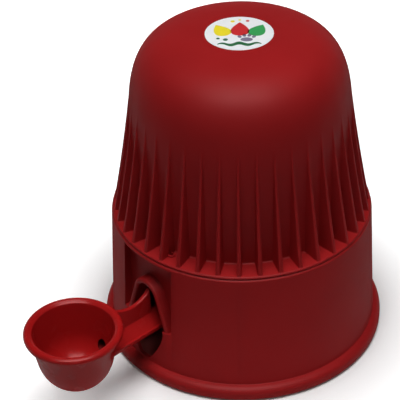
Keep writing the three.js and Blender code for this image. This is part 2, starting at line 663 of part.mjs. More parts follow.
// One rib as an upright plate, thin along Y, reaching out along X
function hoodRib(angle) {
  const foot = rimRadius - RIB_FOOT_INSET;
  const root = hoodRadius - SINK;
  const tip = ledge + RIB_HEIGHT;
  const tipRadius = hoodRadius - RIB_TIP_SINK;
  const middle = (foot + tipRadius) / 2 - 2 * RIB_HOLLOW;
  const shape = new THREE.Shape();
  shape.moveTo(root, ledge - SINK);
  shape.lineTo(foot, ledge - SINK);
  shape.lineTo(foot, ledge);
  shape.quadraticCurveTo(middle, (ledge + tip) / 2, tipRadius, tip);
  const geometry = new THREE.ExtrudeGeometry(shape, {
    depth: RIB_THICKNESS,
    curveSegments: ROUND_STEPS,
    bevelEnabled: false,
  });
  return solid(geometry.translate(0, 0, -RIB_THICKNESS / 2).rotateX(Math.PI / 2).rotateZ(angle));
}

function hoodShell() {
  const lipRadius = rimInnerRadius - HOOD_LIP_CLEARANCE;
  const lipFoot = flangeUnderside - HOOD_LIP_DEPTH;
  const inner = hoodRadius - HOOD_WALL;
  const labelSeat = LABEL_RADIUS + GAP;
  const domeCurve = (radius, rise) =>
    quarter(radius, domeFoot, rise, DOME_OUT_POWER, DOME_UP_POWER, CROWN_STEPS);
  const dome = domeCurve(hoodRadius, DOME_HEIGHT);
  const hollow = domeCurve(inner, hoodInnerTop - domeFoot);
  const shell = turned([
    [inner, flangeUnderside],
    [lipRadius - HOOD_LIP_WALL, flangeUnderside],
    [lipRadius - HOOD_LIP_WALL, lipFoot],
    [lipRadius, lipFoot],
    [lipRadius, flangeUnderside],
    [rimRadius - FLANGE_ROUND, flangeUnderside],
    [rimRadius, flangeUnderside + FLANGE_ROUND],
    ...arc(rimRadius - FLANGE_ROUND, ledge - FLANGE_ROUND, FLANGE_ROUND, 0, Math.PI / 2, 2),
    [hoodRadius, ledge],
    ...dome,
    ...hollow.reverse(),
  ], BODY_STEPS);
  const half = NICHE_WIDTH / 2 + NICHE_WALL + HOOD_LIP_CLEARANCE;
  const notch = block(-half, half, -rimRadius - OVERRUN, NICHE_WALL + HOOD_LIP_CLEARANCE - panelDistance,
    lipFoot - OVERRUN, flangeUnderside);
  const recess = column(labelSeat, hoodTop - LABEL_RECESS, hoodTop + OVERRUN, 0, 0, CUP_STEPS);
  const vents = around(VENT_COUNT, VENT_ANGLE).map((angle) => polar(rimRadius - VENT_INSET, angle));
  const bosses = vents.map(([x, y]) =>
    column(VENT_BOSS_RADIUS, ledge - SINK, ledge + VENT_BOSS_HEIGHT, x, y));
  const holes = vents.map(([x, y]) =>
    column(VENT_RADIUS, flangeUnderside - OVERRUN, ledge + VENT_BOSS_HEIGHT + OVERRUN, x, y));
  const ribs = around(RIB_COUNT, -Math.PI / 2).map(hoodRib);
  return cut(join([shell, ...ribs, ...bosses]), [notch, recess, ...holes]);
}

function labelDisc() {
  const seat = hoodTop - LABEL_RECESS + GAP;
  return column(LABEL_RADIUS, seat, seat + LABEL_THICKNESS, 0, 0, CUP_STEPS);
}

// A named mesh from a joined and cut solid
function piece(name, finish, body) {
  const mesh = body.getMesh();
  const geometry = new THREE.BufferGeometry();
  geometry.setAttribute('position', new THREE.BufferAttribute(mesh.vertProperties, 3));
  geometry.setIndex(new THREE.BufferAttribute(mesh.triVerts, 1));
  geometry.computeVertexNormals();
  const made = new THREE.Mesh(geometry, new THREE.MeshStandardMaterial(FINISHES[finish]));
  made.name = name;
  return made;
}

function group(...members) {
  const made = new THREE.Group();
  made.add(...members);
  return made;
}

const pillarAngles = around(PILLAR_COUNT, PILLAR_START_ANGLE);
const base = group(
  piece('base_skirt', 'redPlastic', baseSkirt()),
  piece('water_tray', 'redTray', waterTray()),
  ...pillarAngles.map((angle, i) => piece(`tray_screw_${i + 1}`, 'steel', trayScrew(angle))),
  ...pillarAngles.map((angle, i) => piece(`rubber_foot_${i + 1}`, 'rubber', rubberFoot(angle))),
);
const cupAssembly = group(
  piece('cup_arm', 'redPlastic', cupArm()),
  piece('spigot_seal', 'rubber', spigotSeal()),
);
const valve = group(
  piece('valve_stem', 'whitePlastic', valveStem()),
  piece('valve_seal', 'silicone', washer(hubBoreRadius, VALVE_SEAL_RADIUS, valveSealFoot,
    valveSealFoot + VALVE_SEAL_THICKNESS)),
  piece('stem_retainer', 'whitePlastic', washer(hubBoreRadius, RETAINER_RADIUS, stemFoot, retainerTop)),
  piece('valve_spring', 'steel', valveSpring()),
);
const tank = group(
  piece('tank_shell', 'clearPlastic', tankShell()),
  piece('tank_cap', 'whitePlastic', tankCap()),
  piece('cap_gasket', 'silicone', washer(NECK_RADIUS - GASKET_WIDTH, NECK_RADIUS, discTop + GAP, gasketTop,
    CUP_STEPS)),
  valve,
);
const hood = group(
  piece('hood_shell', 'redPlastic', hoodShell()),
  piece('label_disc', 'label', labelDisc()),
);

export default group(base, cupAssembly, tank, hood);
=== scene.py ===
# %% [markdown]
# # A gravity-fed pet drinker
#
# The object is a red moulded drinker for a pet: a ribbed hood over an inverted water tank, on a round base,
# with a cup on an arm that comes out through an arched window. A imported model gives every piece its real
# place, size and motion. This lesson makes the fine surfaces that are seen, piece by piece, in the same
# place, and gives each its finish.
#
# We start by loading that model as a fixed frame.

# %% Load the frame
import math

import bmesh
import bpy
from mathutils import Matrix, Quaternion, Vector


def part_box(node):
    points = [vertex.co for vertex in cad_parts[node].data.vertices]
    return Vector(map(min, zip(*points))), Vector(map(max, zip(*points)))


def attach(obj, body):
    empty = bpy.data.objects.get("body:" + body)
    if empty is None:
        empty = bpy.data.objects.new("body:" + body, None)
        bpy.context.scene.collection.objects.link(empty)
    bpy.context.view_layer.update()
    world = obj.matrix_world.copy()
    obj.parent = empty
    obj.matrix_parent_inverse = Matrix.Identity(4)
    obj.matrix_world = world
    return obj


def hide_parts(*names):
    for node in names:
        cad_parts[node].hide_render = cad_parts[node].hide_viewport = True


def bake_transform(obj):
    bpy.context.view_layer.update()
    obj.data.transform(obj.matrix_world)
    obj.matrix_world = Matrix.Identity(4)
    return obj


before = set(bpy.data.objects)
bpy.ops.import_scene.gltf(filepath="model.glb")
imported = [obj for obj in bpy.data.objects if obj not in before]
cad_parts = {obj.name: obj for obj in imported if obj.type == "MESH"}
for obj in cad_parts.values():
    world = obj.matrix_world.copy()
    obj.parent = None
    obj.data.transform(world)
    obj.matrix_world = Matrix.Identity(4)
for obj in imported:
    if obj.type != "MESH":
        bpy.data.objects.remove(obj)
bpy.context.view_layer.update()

# %% [markdown]
# ## Measures
#
# Shapes are worked out in millimetres, because that is how a moulder reads a drawing, and turned into
# metres when a mesh is made. The driving sizes are read from the frame's own pieces, so that a fine
# surface always sits on the coarse one.

# %% Sizes read from the frame
MM = 0.001


def lowest(node):
    return [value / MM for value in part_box(node)[0]]


def highest(node):
    return [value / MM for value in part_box(node)[1]]


LABEL_PROUD = 0.1
foot_radius = highest("base_skirt")[0]
rim_top = highest("base_skirt")[2]
rim_radius = highest("hood_shell")[0]
hood_top = highest("label_disc")[2] - LABEL_PROUD
cup_radius = highest("cup_arm")[0]
cup_rim_top = highest("cup_arm")[2]
cup_distance = -lowest("cup_arm")[1] - cup_radius
duct_height = (lowest("spigot_seal")[2] + highest("spigot_seal")[2]) / 2
print("rim radius, hood top, cup's distance, in mm:", rim_radius, hood_top, cup_distance)

# %% [markdown]
# ## Outlines with soft corners
#
# A moulded piece has no knife edges: each corner of its outline is a small arc, which catches the light as
# a thin bright line. So every outline here is a list of corners, and a corner may carry a radius. The
# helper below swaps such a corner for an arc, and limits the radius where the sides are short.

# %% Round the corners of an outline
FULL_TURN = 2 * math.pi
SIDE_SHARE = 0.98


def corner_reach(corners, i):
    here = Vector(corners[i][:2])
    before = Vector(corners[i - 1][:2]) - here
    after = Vector(corners[(i + 1) % len(corners)][:2]) - here
    half = before.angle(after) / 2
    radius = corners[i][2] if len(corners[i]) == 3 else 0.0
    return before, after, half, radius / math.tan(half)


def rounded(corners, steps=4):
    found = [corner_reach(corners, i) for i in range(len(corners))]
    points = []
    for i, corner in enumerate(corners):
        before, after, half, reach = found[i]
        if reach == 0:
            points.append(tuple(corner[:2]))
            continue
        left = SIDE_SHARE * before.length / (reach + found[i - 1][3])
        right = SIDE_SHARE * after.length / (reach + found[(i + 1) % len(found)][3])
        reach *= min(left, right, 1.0)
        radius = reach * math.tan(half)
        here = Vector(corner[:2])
        middle = (before.normalized() + after.normalized()).normalized()
        centre = here + middle * (radius / math.sin(half))
        first = here + before.normalized() * reach - centre
        last = here + after.normalized() * reach - centre
        start = math.atan2(first.y, first.x)
        sweep = math.atan2(last.y, last.x) - start
        sweep = (sweep + math.pi) % FULL_TURN - math.pi
        for k in range(steps + 1):
            angle = start + sweep * k / steps
            points.append((centre.x + radius * math.cos(angle), centre.y + radius * math.sin(angle)))
    return points


print("points in a rounded square:", len(rounded([(0, 0, 1), (4, 0, 1), (4, 4, 1), (0, 4, 1)])))

# %% [markdown]
# ## Skins
#
# Most pieces can be drawn as a row of rings, each with as many points as the next, with a skin of
# four-sided faces over them. A turned piece is such a row of rings round its axis, and so are a swept bead
# and a tapering arm. One helper makes the skin, and the others only say where the rings go.

# %% Skin a row of rings


def skinned(rings, closed=False):
    count = len(rings[0])
    points = [point for ring in rings for point in ring]
    faces = []
    for i in range(len(rings) if closed else len(rings) - 1):
        one = i * count
        two = (i + 1) % len(rings) * count
        for k in range(count):
            after = (k + 1) % count
            faces.append((one + k, one + after, two + after, two + k))
    if not closed:
        faces.append(tuple(range(count))[::-1])
        faces.append(tuple(range(len(points) - count, len(points))))
    return points, faces


square = [(0, 0), (1, 0), (1, 1), (0, 1)]
print("faces of a plain block:", len(skinned([[(x, y, z) for x, y in square] for z in (0, 1)])[1]))

# %% [markdown]
# Four kinds of skin come up again and again: an outline turned round an upright axis, one raised between
# two levels, one drawn out along the arm, and a turned one that is then laid down at the height of the
# water's duct, such as the spigot. All of them only place rings, so each is a few lines long.

# %% Turned, raised, drawn-out and laid skins


def swung(x, y, angle):
    return x * math.cos(angle) - y * math.sin(angle), x * math.sin(angle) + y * math.cos(angle)


def on_circle(radius, angle):
    return radius * math.cos(angle), radius * math.sin(angle)


def turned(outline, steps, centre=(0, 0)):
    angles = [FULL_TURN * k / steps for k in range(steps)]
    rings = [
        [(centre[0] + radius * math.cos(a), centre[1] + radius * math.sin(a), height) for a in angles]
        for radius, height in outline
    ]
    return skinned(rings, closed=True)


def upright(outline, foot, top):
    return skinned([[(x, y, z) for x, y in outline] for z in (foot, top)])


def along_arm(outline, near, far):
    return skinned([[(x, -distance, z) for x, z in outline] for distance in (near, far)])


def laid(skin):
    points, faces = skin
    return [(x, -z, duct_height + y) for x, y, z in points], faces


def rod(radius, near, far, steps, edge=0.4):
    outline = rounded([(0, near), (radius, near, edge), (radius, far, edge), (0, far)], 3)
    return laid(turned(outline, steps))


print("points of a rod along the duct:", len(rod(5, 0, 20, 24)[0]))

# %% [markdown]
# ## From a skin to a mesh
#
# A skin becomes a Blender mesh in metres. Doubled points are welded, which also closes a turned piece at
# its axis, and the faces are turned to point outwards. Two closed meshes are then joined or cut with the
# Boolean modifier, where a moulding has a window, a hole, or a boss that grows out of its wall. It keeps
# exact shapes and leaves the rest of the mesh alone, where a voxel remesh would blur every small edge.

# %% Make, join and cut meshes
WELD = 0.002 * MM


def solid(name, skin):
    points, faces = skin
    mesh = bpy.data.meshes.new(name)
    mesh.from_pydata([[value * MM for value in point] for point in points], [], faces)
    work = bmesh.new()
    work.from_mesh(mesh)
    bmesh.ops.remove_doubles(work, verts=work.verts, dist=WELD)
    bmesh.ops.recalc_face_normals(work, faces=work.faces)
    work.to_mesh(mesh)
    work.free()
    made = bpy.data.objects.new(name, mesh)
    bpy.context.scene.collection.objects.link(made)
    return made


def combined(operation, body, *tools):
    for tool in tools:
        step = body.modifiers.new(operation, "BOOLEAN")
        step.solver = "MANIFOLD"
        step.operation = operation
        step.object = tool
    depsgraph = bpy.context.evaluated_depsgraph_get()
    mesh = bpy.data.meshes.new_from_object(body.evaluated_get(depsgraph))
    body.modifiers.clear()
    body.data = mesh
    for tool in tools:
        bpy.data.objects.remove(tool)
    return body


print("points closer than this are welded, in mm:", WELD / MM)

# %% [markdown]
# Where a cut leaves a sharp corner that the real moulding has softened, the edges of that corner are
# picked by their place and bevelled. A finished piece is then shaded smooth, apart from its true corners,
# gets its finish, is hung on the body it rides on, and hides the pieces of the model that it stands for.

# %% Soften chosen edges, and finish a piece
CUT_ANGLE = math.radians(40)
SHARP_ANGLE = math.radians(32)


def softened(body, width, picked):
    work = bmesh.new()
    work.from_mesh(body.data)
    chosen = []
    for edge in work.edges:
        middle = (edge.verts[0].co + edge.verts[1].co) / 2 / MM
        if edge.is_manifold and edge.calc_face_angle() > CUT_ANGLE and picked(*middle):
            chosen.append(edge)
    bmesh.ops.bevel(
        work, geom=chosen, offset=width * MM, segments=2, affect="EDGES", clamp_overlap=True, profile=0.5
    )
    work.to_mesh(body.data)
    work.free()
    print(body.name, "edges softened:", len(chosen))
    return body


def finished(piece, body, slot, finish, *nodes):
    piece.data.shade_smooth()
    piece.data.set_sharp_from_angle(angle=SHARP_ANGLE)
    piece.data.materials.clear()
    piece.data.materials.append(finish)
    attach(piece, body)
    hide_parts(*nodes)
    print(piece.name, "faces:", len(piece.data.polygons))
    return piece


# %% [markdown]
# ## Finishes
#
# Moulded polypropylene has one dye all through. What makes it look real is its skin: a fine even grain
# from the spark-eroded mould, which spreads the highlight, and slow changes of colour and gloss where the
# plastic flowed. Both come from noise in the piece's own coordinates, so the finish stays on the piece
# when it moves. A picture texture would need an unwrapped mesh and would blur close up.
#
# A finish is a small net of nodes. Each helper below adds one kind of node, links what feeds it, and gives
# back the socket that the next one reads.

# %% Nodes that finishes are made of


def noise(tree, place, scale, detail):
    made = tree.nodes.new("ShaderNodeTexNoise")
    made.inputs["Scale"].default_value = scale
    made.inputs["Detail"].default_value = detail
    tree.links.new(place, made.inputs["Vector"])
    return made.outputs["Fac"]


def spread(tree, source, low, high, to_low, to_high):
    made = tree.nodes.new("ShaderNodeMapRange")
    made.inputs["From Min"].default_value = low
    made.inputs["From Max"].default_value = high
    made.inputs["To Min"].default_value = to_low
    made.inputs["To Max"].default_value = to_high
    tree.links.new(source, made.inputs["Value"])
    return made.outputs["Result"]


def blended(tree, factor, first, second):
    made = tree.nodes.new("ShaderNodeMix")
    made.data_type = "RGBA"
    for socket, colour in (("A", first), ("B", second)):
        if isinstance(colour, bpy.types.NodeSocket):
            tree.links.new(colour, made.inputs[socket])
        else:
            made.inputs[socket].default_value = (*colour, 1)
    tree.links.new(factor, made.inputs["Factor"])
    return made.outputs["Result"]


def bumped(tree, height, distance):
    made = tree.nodes.new("ShaderNodeBump")
    made.inputs["Distance"].default_value = distance * MM
    made.inputs["Strength"].default_value = 1.0
    tree.links.new(height, made.inputs["Height"])
    return made.outputs["Normal"]


def reckoned(tree, operation, first, second):
    made = tree.nodes.new("ShaderNodeMath")
    made.operation = operation
    tree.links.new(first, made.inputs[0])
    tree.links.new(second, made.inputs[1])
    return made.outputs["Value"]


def length_of(tree, place):
    made = tree.nodes.new("ShaderNodeVectorMath")
    made.operation = "LENGTH"
    tree.links.new(place, made.inputs[0])
    return made.outputs["Value"]


def ray_kind(tree, name):
    return tree.nodes.new("ShaderNodeLightPath").outputs[name]


# %% [markdown]
# Every moulded piece then has the same kind of finish, with its own dye, gloss and grain: wide clouds drift
# the colour, narrower streaks drift the gloss, and the grain lifts the skin by hundredths of a millimetre.
# After its dye, each finish below gives how far the dye drifts, its roughness, and its grain's scale and
# depth.

# %% A moulded finish
CLOUD_SCALE = 9.0
CLOUD_RANGE = (0.35, 0.65)
STREAK_SCALE = 46.0
STREAK_RANGE = (0.3, 0.7)
GLOSS_DRIFT = 0.035


def moulded(name, colour, drift, roughness, grain_scale, grain_depth, **constants):
    finish = bpy.data.materials.new(name)
    finish.use_nodes = True
    tree = finish.node_tree
    shader = tree.nodes["Principled BSDF"]
    place = tree.nodes.new("ShaderNodeTexCoord").outputs["Object"]
    clouds = spread(tree, noise(tree, place, CLOUD_SCALE, 3.0), *CLOUD_RANGE, 0, 1)
    darker = [value * (1 - drift) for value in colour]
    lighter = [value * (1 + drift) for value in colour]
    tree.links.new(blended(tree, clouds, darker, lighter), shader.inputs["Base Color"])
    streaks = noise(tree, place, STREAK_SCALE, 4.0)
    gloss = spread(tree, streaks, *STREAK_RANGE, roughness - GLOSS_DRIFT, roughness + GLOSS_DRIFT)
    tree.links.new(gloss, shader.inputs["Roughness"])
    grain = noise(tree, place, grain_scale, 1.0)
    tree.links.new(bumped(tree, grain, grain_depth), shader.inputs["Normal"])
    for socket, value in constants.items():
        shader.inputs[socket.replace("_", " ")].default_value = value
    return finish


RED = (0.31, 0.0095, 0.0105)
CUP_RED = (0.37, 0.0088, 0.0092)
TRAY_RED = (0.24, 0.0105, 0.011)
SOFT_SHEEN = {"IOR": 1.49, "Specular_IOR_Level": 0.09, "Specular_Tint": (1, 0.65, 0.65, 1)}
red_plastic = moulded("red_polypropylene", RED, 0.06, 0.5, 1900.0, 0.012, **SOFT_SHEEN)
polished_red = moulded("polished_red_polypropylene", CUP_RED, 0.05, 0.26, 1900.0, 0.003, **SOFT_SHEEN)
tray_plastic = moulded("red_tray_polypropylene", TRAY_RED, 0.06, 0.42, 1500.0, 0.01, IOR=1.49)
white_plastic = moulded("white_polypropylene", (0.78, 0.78, 0.75), 0.03, 0.4, 1500.0, 0.01, IOR=1.49)
silicone = moulded("grey_silicone", (0.55, 0.57, 0.54), 0.05, 0.62, 900.0, 0.02, IOR=1.41)
black_rubber = moulded("black_rubber", (0.022, 0.022, 0.024), 0.2, 0.78, 700.0, 0.05, IOR=1.52)
print("moulded finishes:", len(bpy.data.materials))

# %% [markdown]
# The tank is thin blown plastic that light passes through, a little cloudy and faintly uneven from the way
# it was blown. The small steel pieces are bright, with a fine grain from the machine that made them. Both
# are the same net with other constants.

# %% Clear tank plastic and steel
clear_tank = moulded(
    "clear_tank_plastic", (0.8, 0.9, 0.95), 0.02, 0.16, 260.0, 0.05, IOR=1.5, Transmission_Weight=0.86
)
steel = moulded("bright_steel", (0.56, 0.57, 0.58), 0.06, 0.27, 2600.0, 0.006, Metallic=1.0)
print("finishes so far:", len(bpy.data.materials))

# %% [markdown]
# Grained plastic loses its mirror where it turns away from the eye, because the grain shades itself. The
# shader alone would show a pale band there. So on the hood's and base's red, and on the polished red of the
# cup, the mirror's level falls as the surface turns away. Only gloss changes with the view, never colour.

# %% Calm the mirror at the edges of the red pieces
CALM_FROM = 0.4
CALM_TO = 0.85


def calm_edges(finish, level, level_at_edge):
    tree = finish.node_tree
    turned_away = tree.nodes.new("ShaderNodeLayerWeight").outputs["Facing"]
    calmer = spread(tree, turned_away, CALM_FROM, CALM_TO, level, level_at_edge)
    tree.links.new(calmer, tree.nodes["Principled BSDF"].inputs["Specular IOR Level"])
    print(finish.name, "mirror from", level, "to", level_at_edge)


calm_edges(red_plastic, 0.09, 0.006)
calm_edges(polished_red, 0.12, 0.002)

# %% [markdown]
# ## The hood
#
# The hood is one deep moulding: a straight wall that closes over into a full, flat-topped dome, with forty
# thin ribs that feather out below the shoulder and stand on a flange. Ribs could be separate plates cut
# into the shell, but the line where they meet the wall would be hard. Here the whole cross-section is one
# closed line, with a small fillet at each rib's root and a soft edge at its crest, drawn again at each
# height. The rows together make one clean skin.

# %% Hood sizes
LEDGE_WIDTH = 19.3
FLANGE_GAP = 0.3
FLANGE_THICKNESS = 2.6
HOOD_WALL = 2.5
HOOD_STRAIGHT = 31.9
LABEL_RECESS = 0.6
DOME_OUT_POWER = 4.825
DOME_UP_POWER = 4.8
RIB_COUNT = 40
RIB_HALF_AT_FOOT = 1.85
RIB_HALF_AT_TIP = 1.0
RIB_FOOT_INSET = 2.2
RIB_HEIGHT = 115.0
RIB_TIP_SINK = 2.5
RIB_HOLLOW = 0.95

flange_underside = rim_top + FLANGE_GAP
ledge = flange_underside + FLANGE_THICKNESS
hood_radius = rim_radius - LEDGE_WIDTH
dome_foot = ledge + HOOD_STRAIGHT
dome_height = hood_top - dome_foot
hood_inner_top = hood_top - LABEL_RECESS - HOOD_WALL
print("ledge and dome's foot, in mm:", ledge, dome_foot)


def dome_radius(height):
    share = max(0.0, (height - dome_foot) / dome_height)
    return hood_radius * max(0.0, 1 - share**DOME_UP_POWER) ** (1 / DOME_OUT_POWER)


def rib_half(height):
    share = min(max((height - ledge) / RIB_HEIGHT, 0.0), 1.0)
    return RIB_HALF_AT_FOOT + (RIB_HALF_AT_TIP - RIB_HALF_AT_FOOT) * share


def crest_radius(height):
    share = (height - ledge) / RIB_HEIGHT
    foot = rim_radius - RIB_FOOT_INSET
    tip = hood_radius - RIB_TIP_SINK
    bow = (foot + tip) / 2 - 2 * RIB_HOLLOW
    return (1 - share) ** 2 * foot + 2 * share * (1 - share) * bow + share**2 * tip


# %% [markdown]
# The cross-section goes round rib by rib. Each rib gives the same points: its crest, the round at its
# edge, its side, the fillet at its root and the valley to the next rib. Near the rib's tip the crest sinks
# to the wall, and the same points then lie on the plain dome.

# %% One cross-section of the ribbed wall
RIB_ROOT_FILLET = 0.6
RIB_EDGE_ROUND = 0.9
ARC_MIDDLE = 0.3
EDGE_SHARE = 0.45
FILLET_SHARE = 0.5
VALLEY_SHARES = (1 / 3, 2 / 3)


def rib_side(height, wall, crest, grow):
    depth = max(crest - wall, 0.0)
    edge = min(RIB_EDGE_ROUND, EDGE_SHARE * depth)
    fillet = min(RIB_ROOT_FILLET, FILLET_SHARE * depth)
    half = rib_half(height) + grow
    outer = wall + depth
    return [
        (half - RIB_EDGE_ROUND, outer),
        (half - ARC_MIDDLE * RIB_EDGE_ROUND, outer - ARC_MIDDLE * edge),
        (half, outer - edge),
        (half, wall + fillet),
        (half + ARC_MIDDLE * RIB_ROOT_FILLET, wall + ARC_MIDDLE * fillet),
        (half + RIB_ROOT_FILLET, wall),
    ]


def ribbed_ring(height, wall, crest, grow=0.0):
    crest = max(crest, wall)
    taper = min(wall / hood_radius, 1.0) if crest == wall else 1.0
    spots = []
    for offset, radius in rib_side(height, wall, crest, grow):
        offset *= taper
        spots.append((math.sqrt(max(radius**2 - offset**2, 0.0)), offset))
    rib_line = [(out, -offset) for out, offset in reversed(spots)] + [(crest, 0.0)] + spots
    last = math.atan2(spots[-1][1], spots[-1][0])
    pitch = FULL_TURN / RIB_COUNT
    ring = []
    for rib in range(RIB_COUNT):
        turn = rib * pitch - math.pi / 2
        for out, offset in rib_line:
            ring.append((*swung(out, offset, turn), height))
        for share in VALLEY_SHARES:
            ring.append((*on_circle(wall, turn + last + (pitch - 2 * last) * share), height))
    return ring


print("points round the hood:", len(ribbed_ring(ledge, hood_radius, crest_radius(ledge))))

# %% [markdown]
# The dome's rows are spaced evenly along its curve, so that the shoulder, where it bends most, stays
# smooth. The curve is walked in small steps and its length is shared out.

# %% The dome's curve, in even steps
CURVE_SAMPLES = 1500
DOME_ROWS = 44


def dome_curve(radius, rise, from_height):
    curve = []
    for i in range(CURVE_SAMPLES + 1):
        angle = math.pi / 2 * (i / CURVE_SAMPLES) ** 2
        out = math.cos(angle) ** (2 / DOME_OUT_POWER) if i < CURVE_SAMPLES else 0.0
        point = (radius * out, dome_foot + rise * math.sin(angle) ** (2 / DOME_UP_POWER))
        if point[1] >= from_height:
            curve.append(point)
    return curve


def evenly(curve, rows):
    lengths = [0.0]
    for one, two in zip(curve, curve[1:]):
        lengths.append(lengths[-1] + math.dist(one, two))
    picked = []
    i = 0
    for row in range(rows + 1):
        wanted = lengths[-1] * row / rows
        while i < len(curve) - 2 and lengths[i + 1] < wanted:
            i += 1
        span = lengths[i + 1] - lengths[i] or 1.0
        share = (wanted - lengths[i]) / span
        picked.append(tuple(a + (b - a) * share for a, b in zip(curve[i], curve[i + 1])))
    return picked


def plain_ring(pattern, radius, height):
    ring = []
    for x, y, _ in pattern:
        size = math.hypot(x, y)
        ring.append((x / size * radius, y / size * radius, height))
    return ring


spots = evenly(dome_curve(hood_radius, dome_height, dome_foot), DOME_ROWS)
print("first and last step up the dome, in mm:", math.dist(*spots[:2]), math.dist(*spots[-2:]))

# %% [markdown]
# From the crown down, the hood's outside is the dome, the ribbed rows and a small fillet on the ledge. The
# flange's edge is well rounded on top and drafted below, so it leaves its mould. Behind it a lip drops
# inside the base's rim, and the plain inside follows the dome at an even wall. Three corners only close the
# underside's outline while its corners are rounded, and are dropped again, since the dome's rows take over.

# %% Rows of the hood
RIB_ROWS = 32
INNER_ROWS = 30
FILLET_ROWS = 5
LEDGE_FILLET = 1.6
RIB_FOOT_FILLET = 0.3
FLANGE_ROUND = 1.5
FLANGE_DRAFT = 1.2
FLANGE_EDGE_DRAFT = 0.2
LIP_DEPTH = 8.0
LIP_WALL = 2.2
LIP_CLEARANCE = 0.5
SKIRT_WALL = 2.6


def outer_rows():
    rows = []
    for k in range(FILLET_ROWS + 1):
        angle = math.pi / 2 * k / FILLET_ROWS
        grow = LEDGE_FILLET * (1 - math.sin(angle))
        height = ledge + LEDGE_FILLET * (1 - math.cos(angle))
        rib_grow = RIB_FOOT_FILLET * grow / LEDGE_FILLET
        rows.append(ribbed_ring(height, hood_radius + grow, crest_radius(height) + rib_grow, rib_grow))
    for i in range(1, RIB_ROWS + 1):
        height = ledge + LEDGE_FILLET + (RIB_HEIGHT - LEDGE_FILLET) * i / RIB_ROWS
        rows.append(ribbed_ring(height, dome_radius(height), crest_radius(height)))
    dome = dome_curve(hood_radius, dome_height, ledge + RIB_HEIGHT)
    for radius, height in evenly(dome, DOME_ROWS)[1:-1]:
        rows.append(ribbed_ring(height, radius, 0.0))
    return rows + [[(0.0, 0.0, hood_top)] * len(rows[0])]


def inner_outline():
    inner = hood_radius - HOOD_WALL
    lip = rim_radius - SKIRT_WALL - LIP_CLEARANCE
    lip_foot = flange_underside - LIP_DEPTH
    closing = [(hood_radius + LEDGE_FILLET, ledge), (hood_radius, dome_foot), (inner, dome_foot)]
    underside = rounded([
        (inner, flange_underside, 1.0),
        (lip - LIP_WALL, flange_underside, 0.6),
        (lip - LIP_WALL, lip_foot, 0.5),
        (lip, lip_foot, 0.5),
        (lip, flange_underside, 0.2),
        (rim_radius - FLANGE_DRAFT, flange_underside, 0.4),
        (rim_radius - FLANGE_EDGE_DRAFT, ledge, FLANGE_ROUND),
        *closing,
    ])[:-len(closing)]
    curve = evenly(dome_curve(inner, hood_inner_top - dome_foot, dome_foot), INNER_ROWS)
    return curve[-2:0:-1] + [(inner, dome_foot)] + underside


def hood_skin():
    rows = outer_rows()
    inside = [plain_ring(rows[0], radius, height) for radius, height in inner_outline()]
    return skinned([[(0.0, 0.0, hood_inner_top)] * len(rows[0]), *inside, *rows])


print("points down the hood's inside:", len(inner_outline()))

# %% [markdown]
# Three things break the hood's even round: a notch in the lip where the niche stands, the round seat of the
# label in the crown, and two small vent bosses on the ledge that let air in as water leaves. The niche is
# the flat recess in the base's front, and its measures are needed from here on.

# %% Build the hood
SINK = 1.2
OVERRUN = 2.0
NICHE_WIDTH = 59.0
NICHE_WALL = 2.6
NICHE_DEPTH = 9.5
NOTCH_DROP = 12.0
LABEL_SEAT_RADIUS = 28.2
VENT_ANGLES = (math.radians(-79.2), math.radians(100.8))
VENT_INSET = 13.0
VENT_HOLE = 1.7
VENT_BOSS = 3.2
VENT_BOSS_HEIGHT = 1.6
VENT_CUT_HEIGHT = 9.0
SMALL_ROUND = 0.35
panel_distance = rim_radius - NICHE_DEPTH


def block(west, east, near, far, foot, top, edge=0.0):
    outline = [(west, near), (east, near), (east, far), (west, far)]
    if edge:
        outline = rounded([(x, y, edge) for x, y in outline])
    return upright(outline, foot, top)


def column(radius, foot, top, centre=(0, 0), edge=SMALL_ROUND, steps=48):
    return turned(rounded([(0, foot), (radius, foot), (radius, top, edge), (0, top)], 3), steps, centre)


def niche_block(clearance, radius, foot, top):
    half = NICHE_WIDTH / 2 + NICHE_WALL + clearance
    return block(-half, half, -radius - OVERRUN, NICHE_WALL + clearance - panel_distance, foot, top)


hood = solid("ribbed_hood", hood_skin())
bosses = []
holes = []
for angle in VENT_ANGLES:
    spot = on_circle(rim_radius - VENT_INSET, angle)
    bosses.append(solid("boss", column(VENT_BOSS, ledge - SINK, ledge + VENT_BOSS_HEIGHT, spot)))
    holes.append(solid("hole", column(VENT_HOLE, flange_underside - OVERRUN, ledge + VENT_CUT_HEIGHT, spot)))
lip_notch = solid("lip_notch", niche_block(LIP_CLEARANCE, rim_radius, rim_top - NOTCH_DROP, flange_underside))
seat = column(LABEL_SEAT_RADIUS, hood_top - LABEL_RECESS, hood_top + OVERRUN, steps=96)
combined("UNION", hood, *bosses)
combined("DIFFERENCE", hood, *holes, lip_notch, solid("label_seat", seat))
finished(hood, "hood", "red_shell", red_plastic, "hood_shell")

# %% [markdown]
# ## The base
#
# The base is a tapered skirt on a thicker foot ring. Both are turned from one outline with soft corners, so
# the foot's top edge and the rim catch the light. The skirt could be a plain cone with a ring stuck on, but
# one outline gives the hollow underneath as well, with walls of an even thickness.

# %% Base sizes and outline
FOOT_HEIGHT = 13.7
FOOT_EDGE = 4.2
FOOT_LIP_WALL = 6.0
FOOT_WEB = 3.5
FOOT_LEDGE = 6.7
FOOT_ROLL = math.radians(75)
FOOT_ROLL_STEPS = 10
RIM_EDGE = 2.8
BODY_STEPS = 256
skirt_foot_radius = foot_radius - FOOT_LEDGE


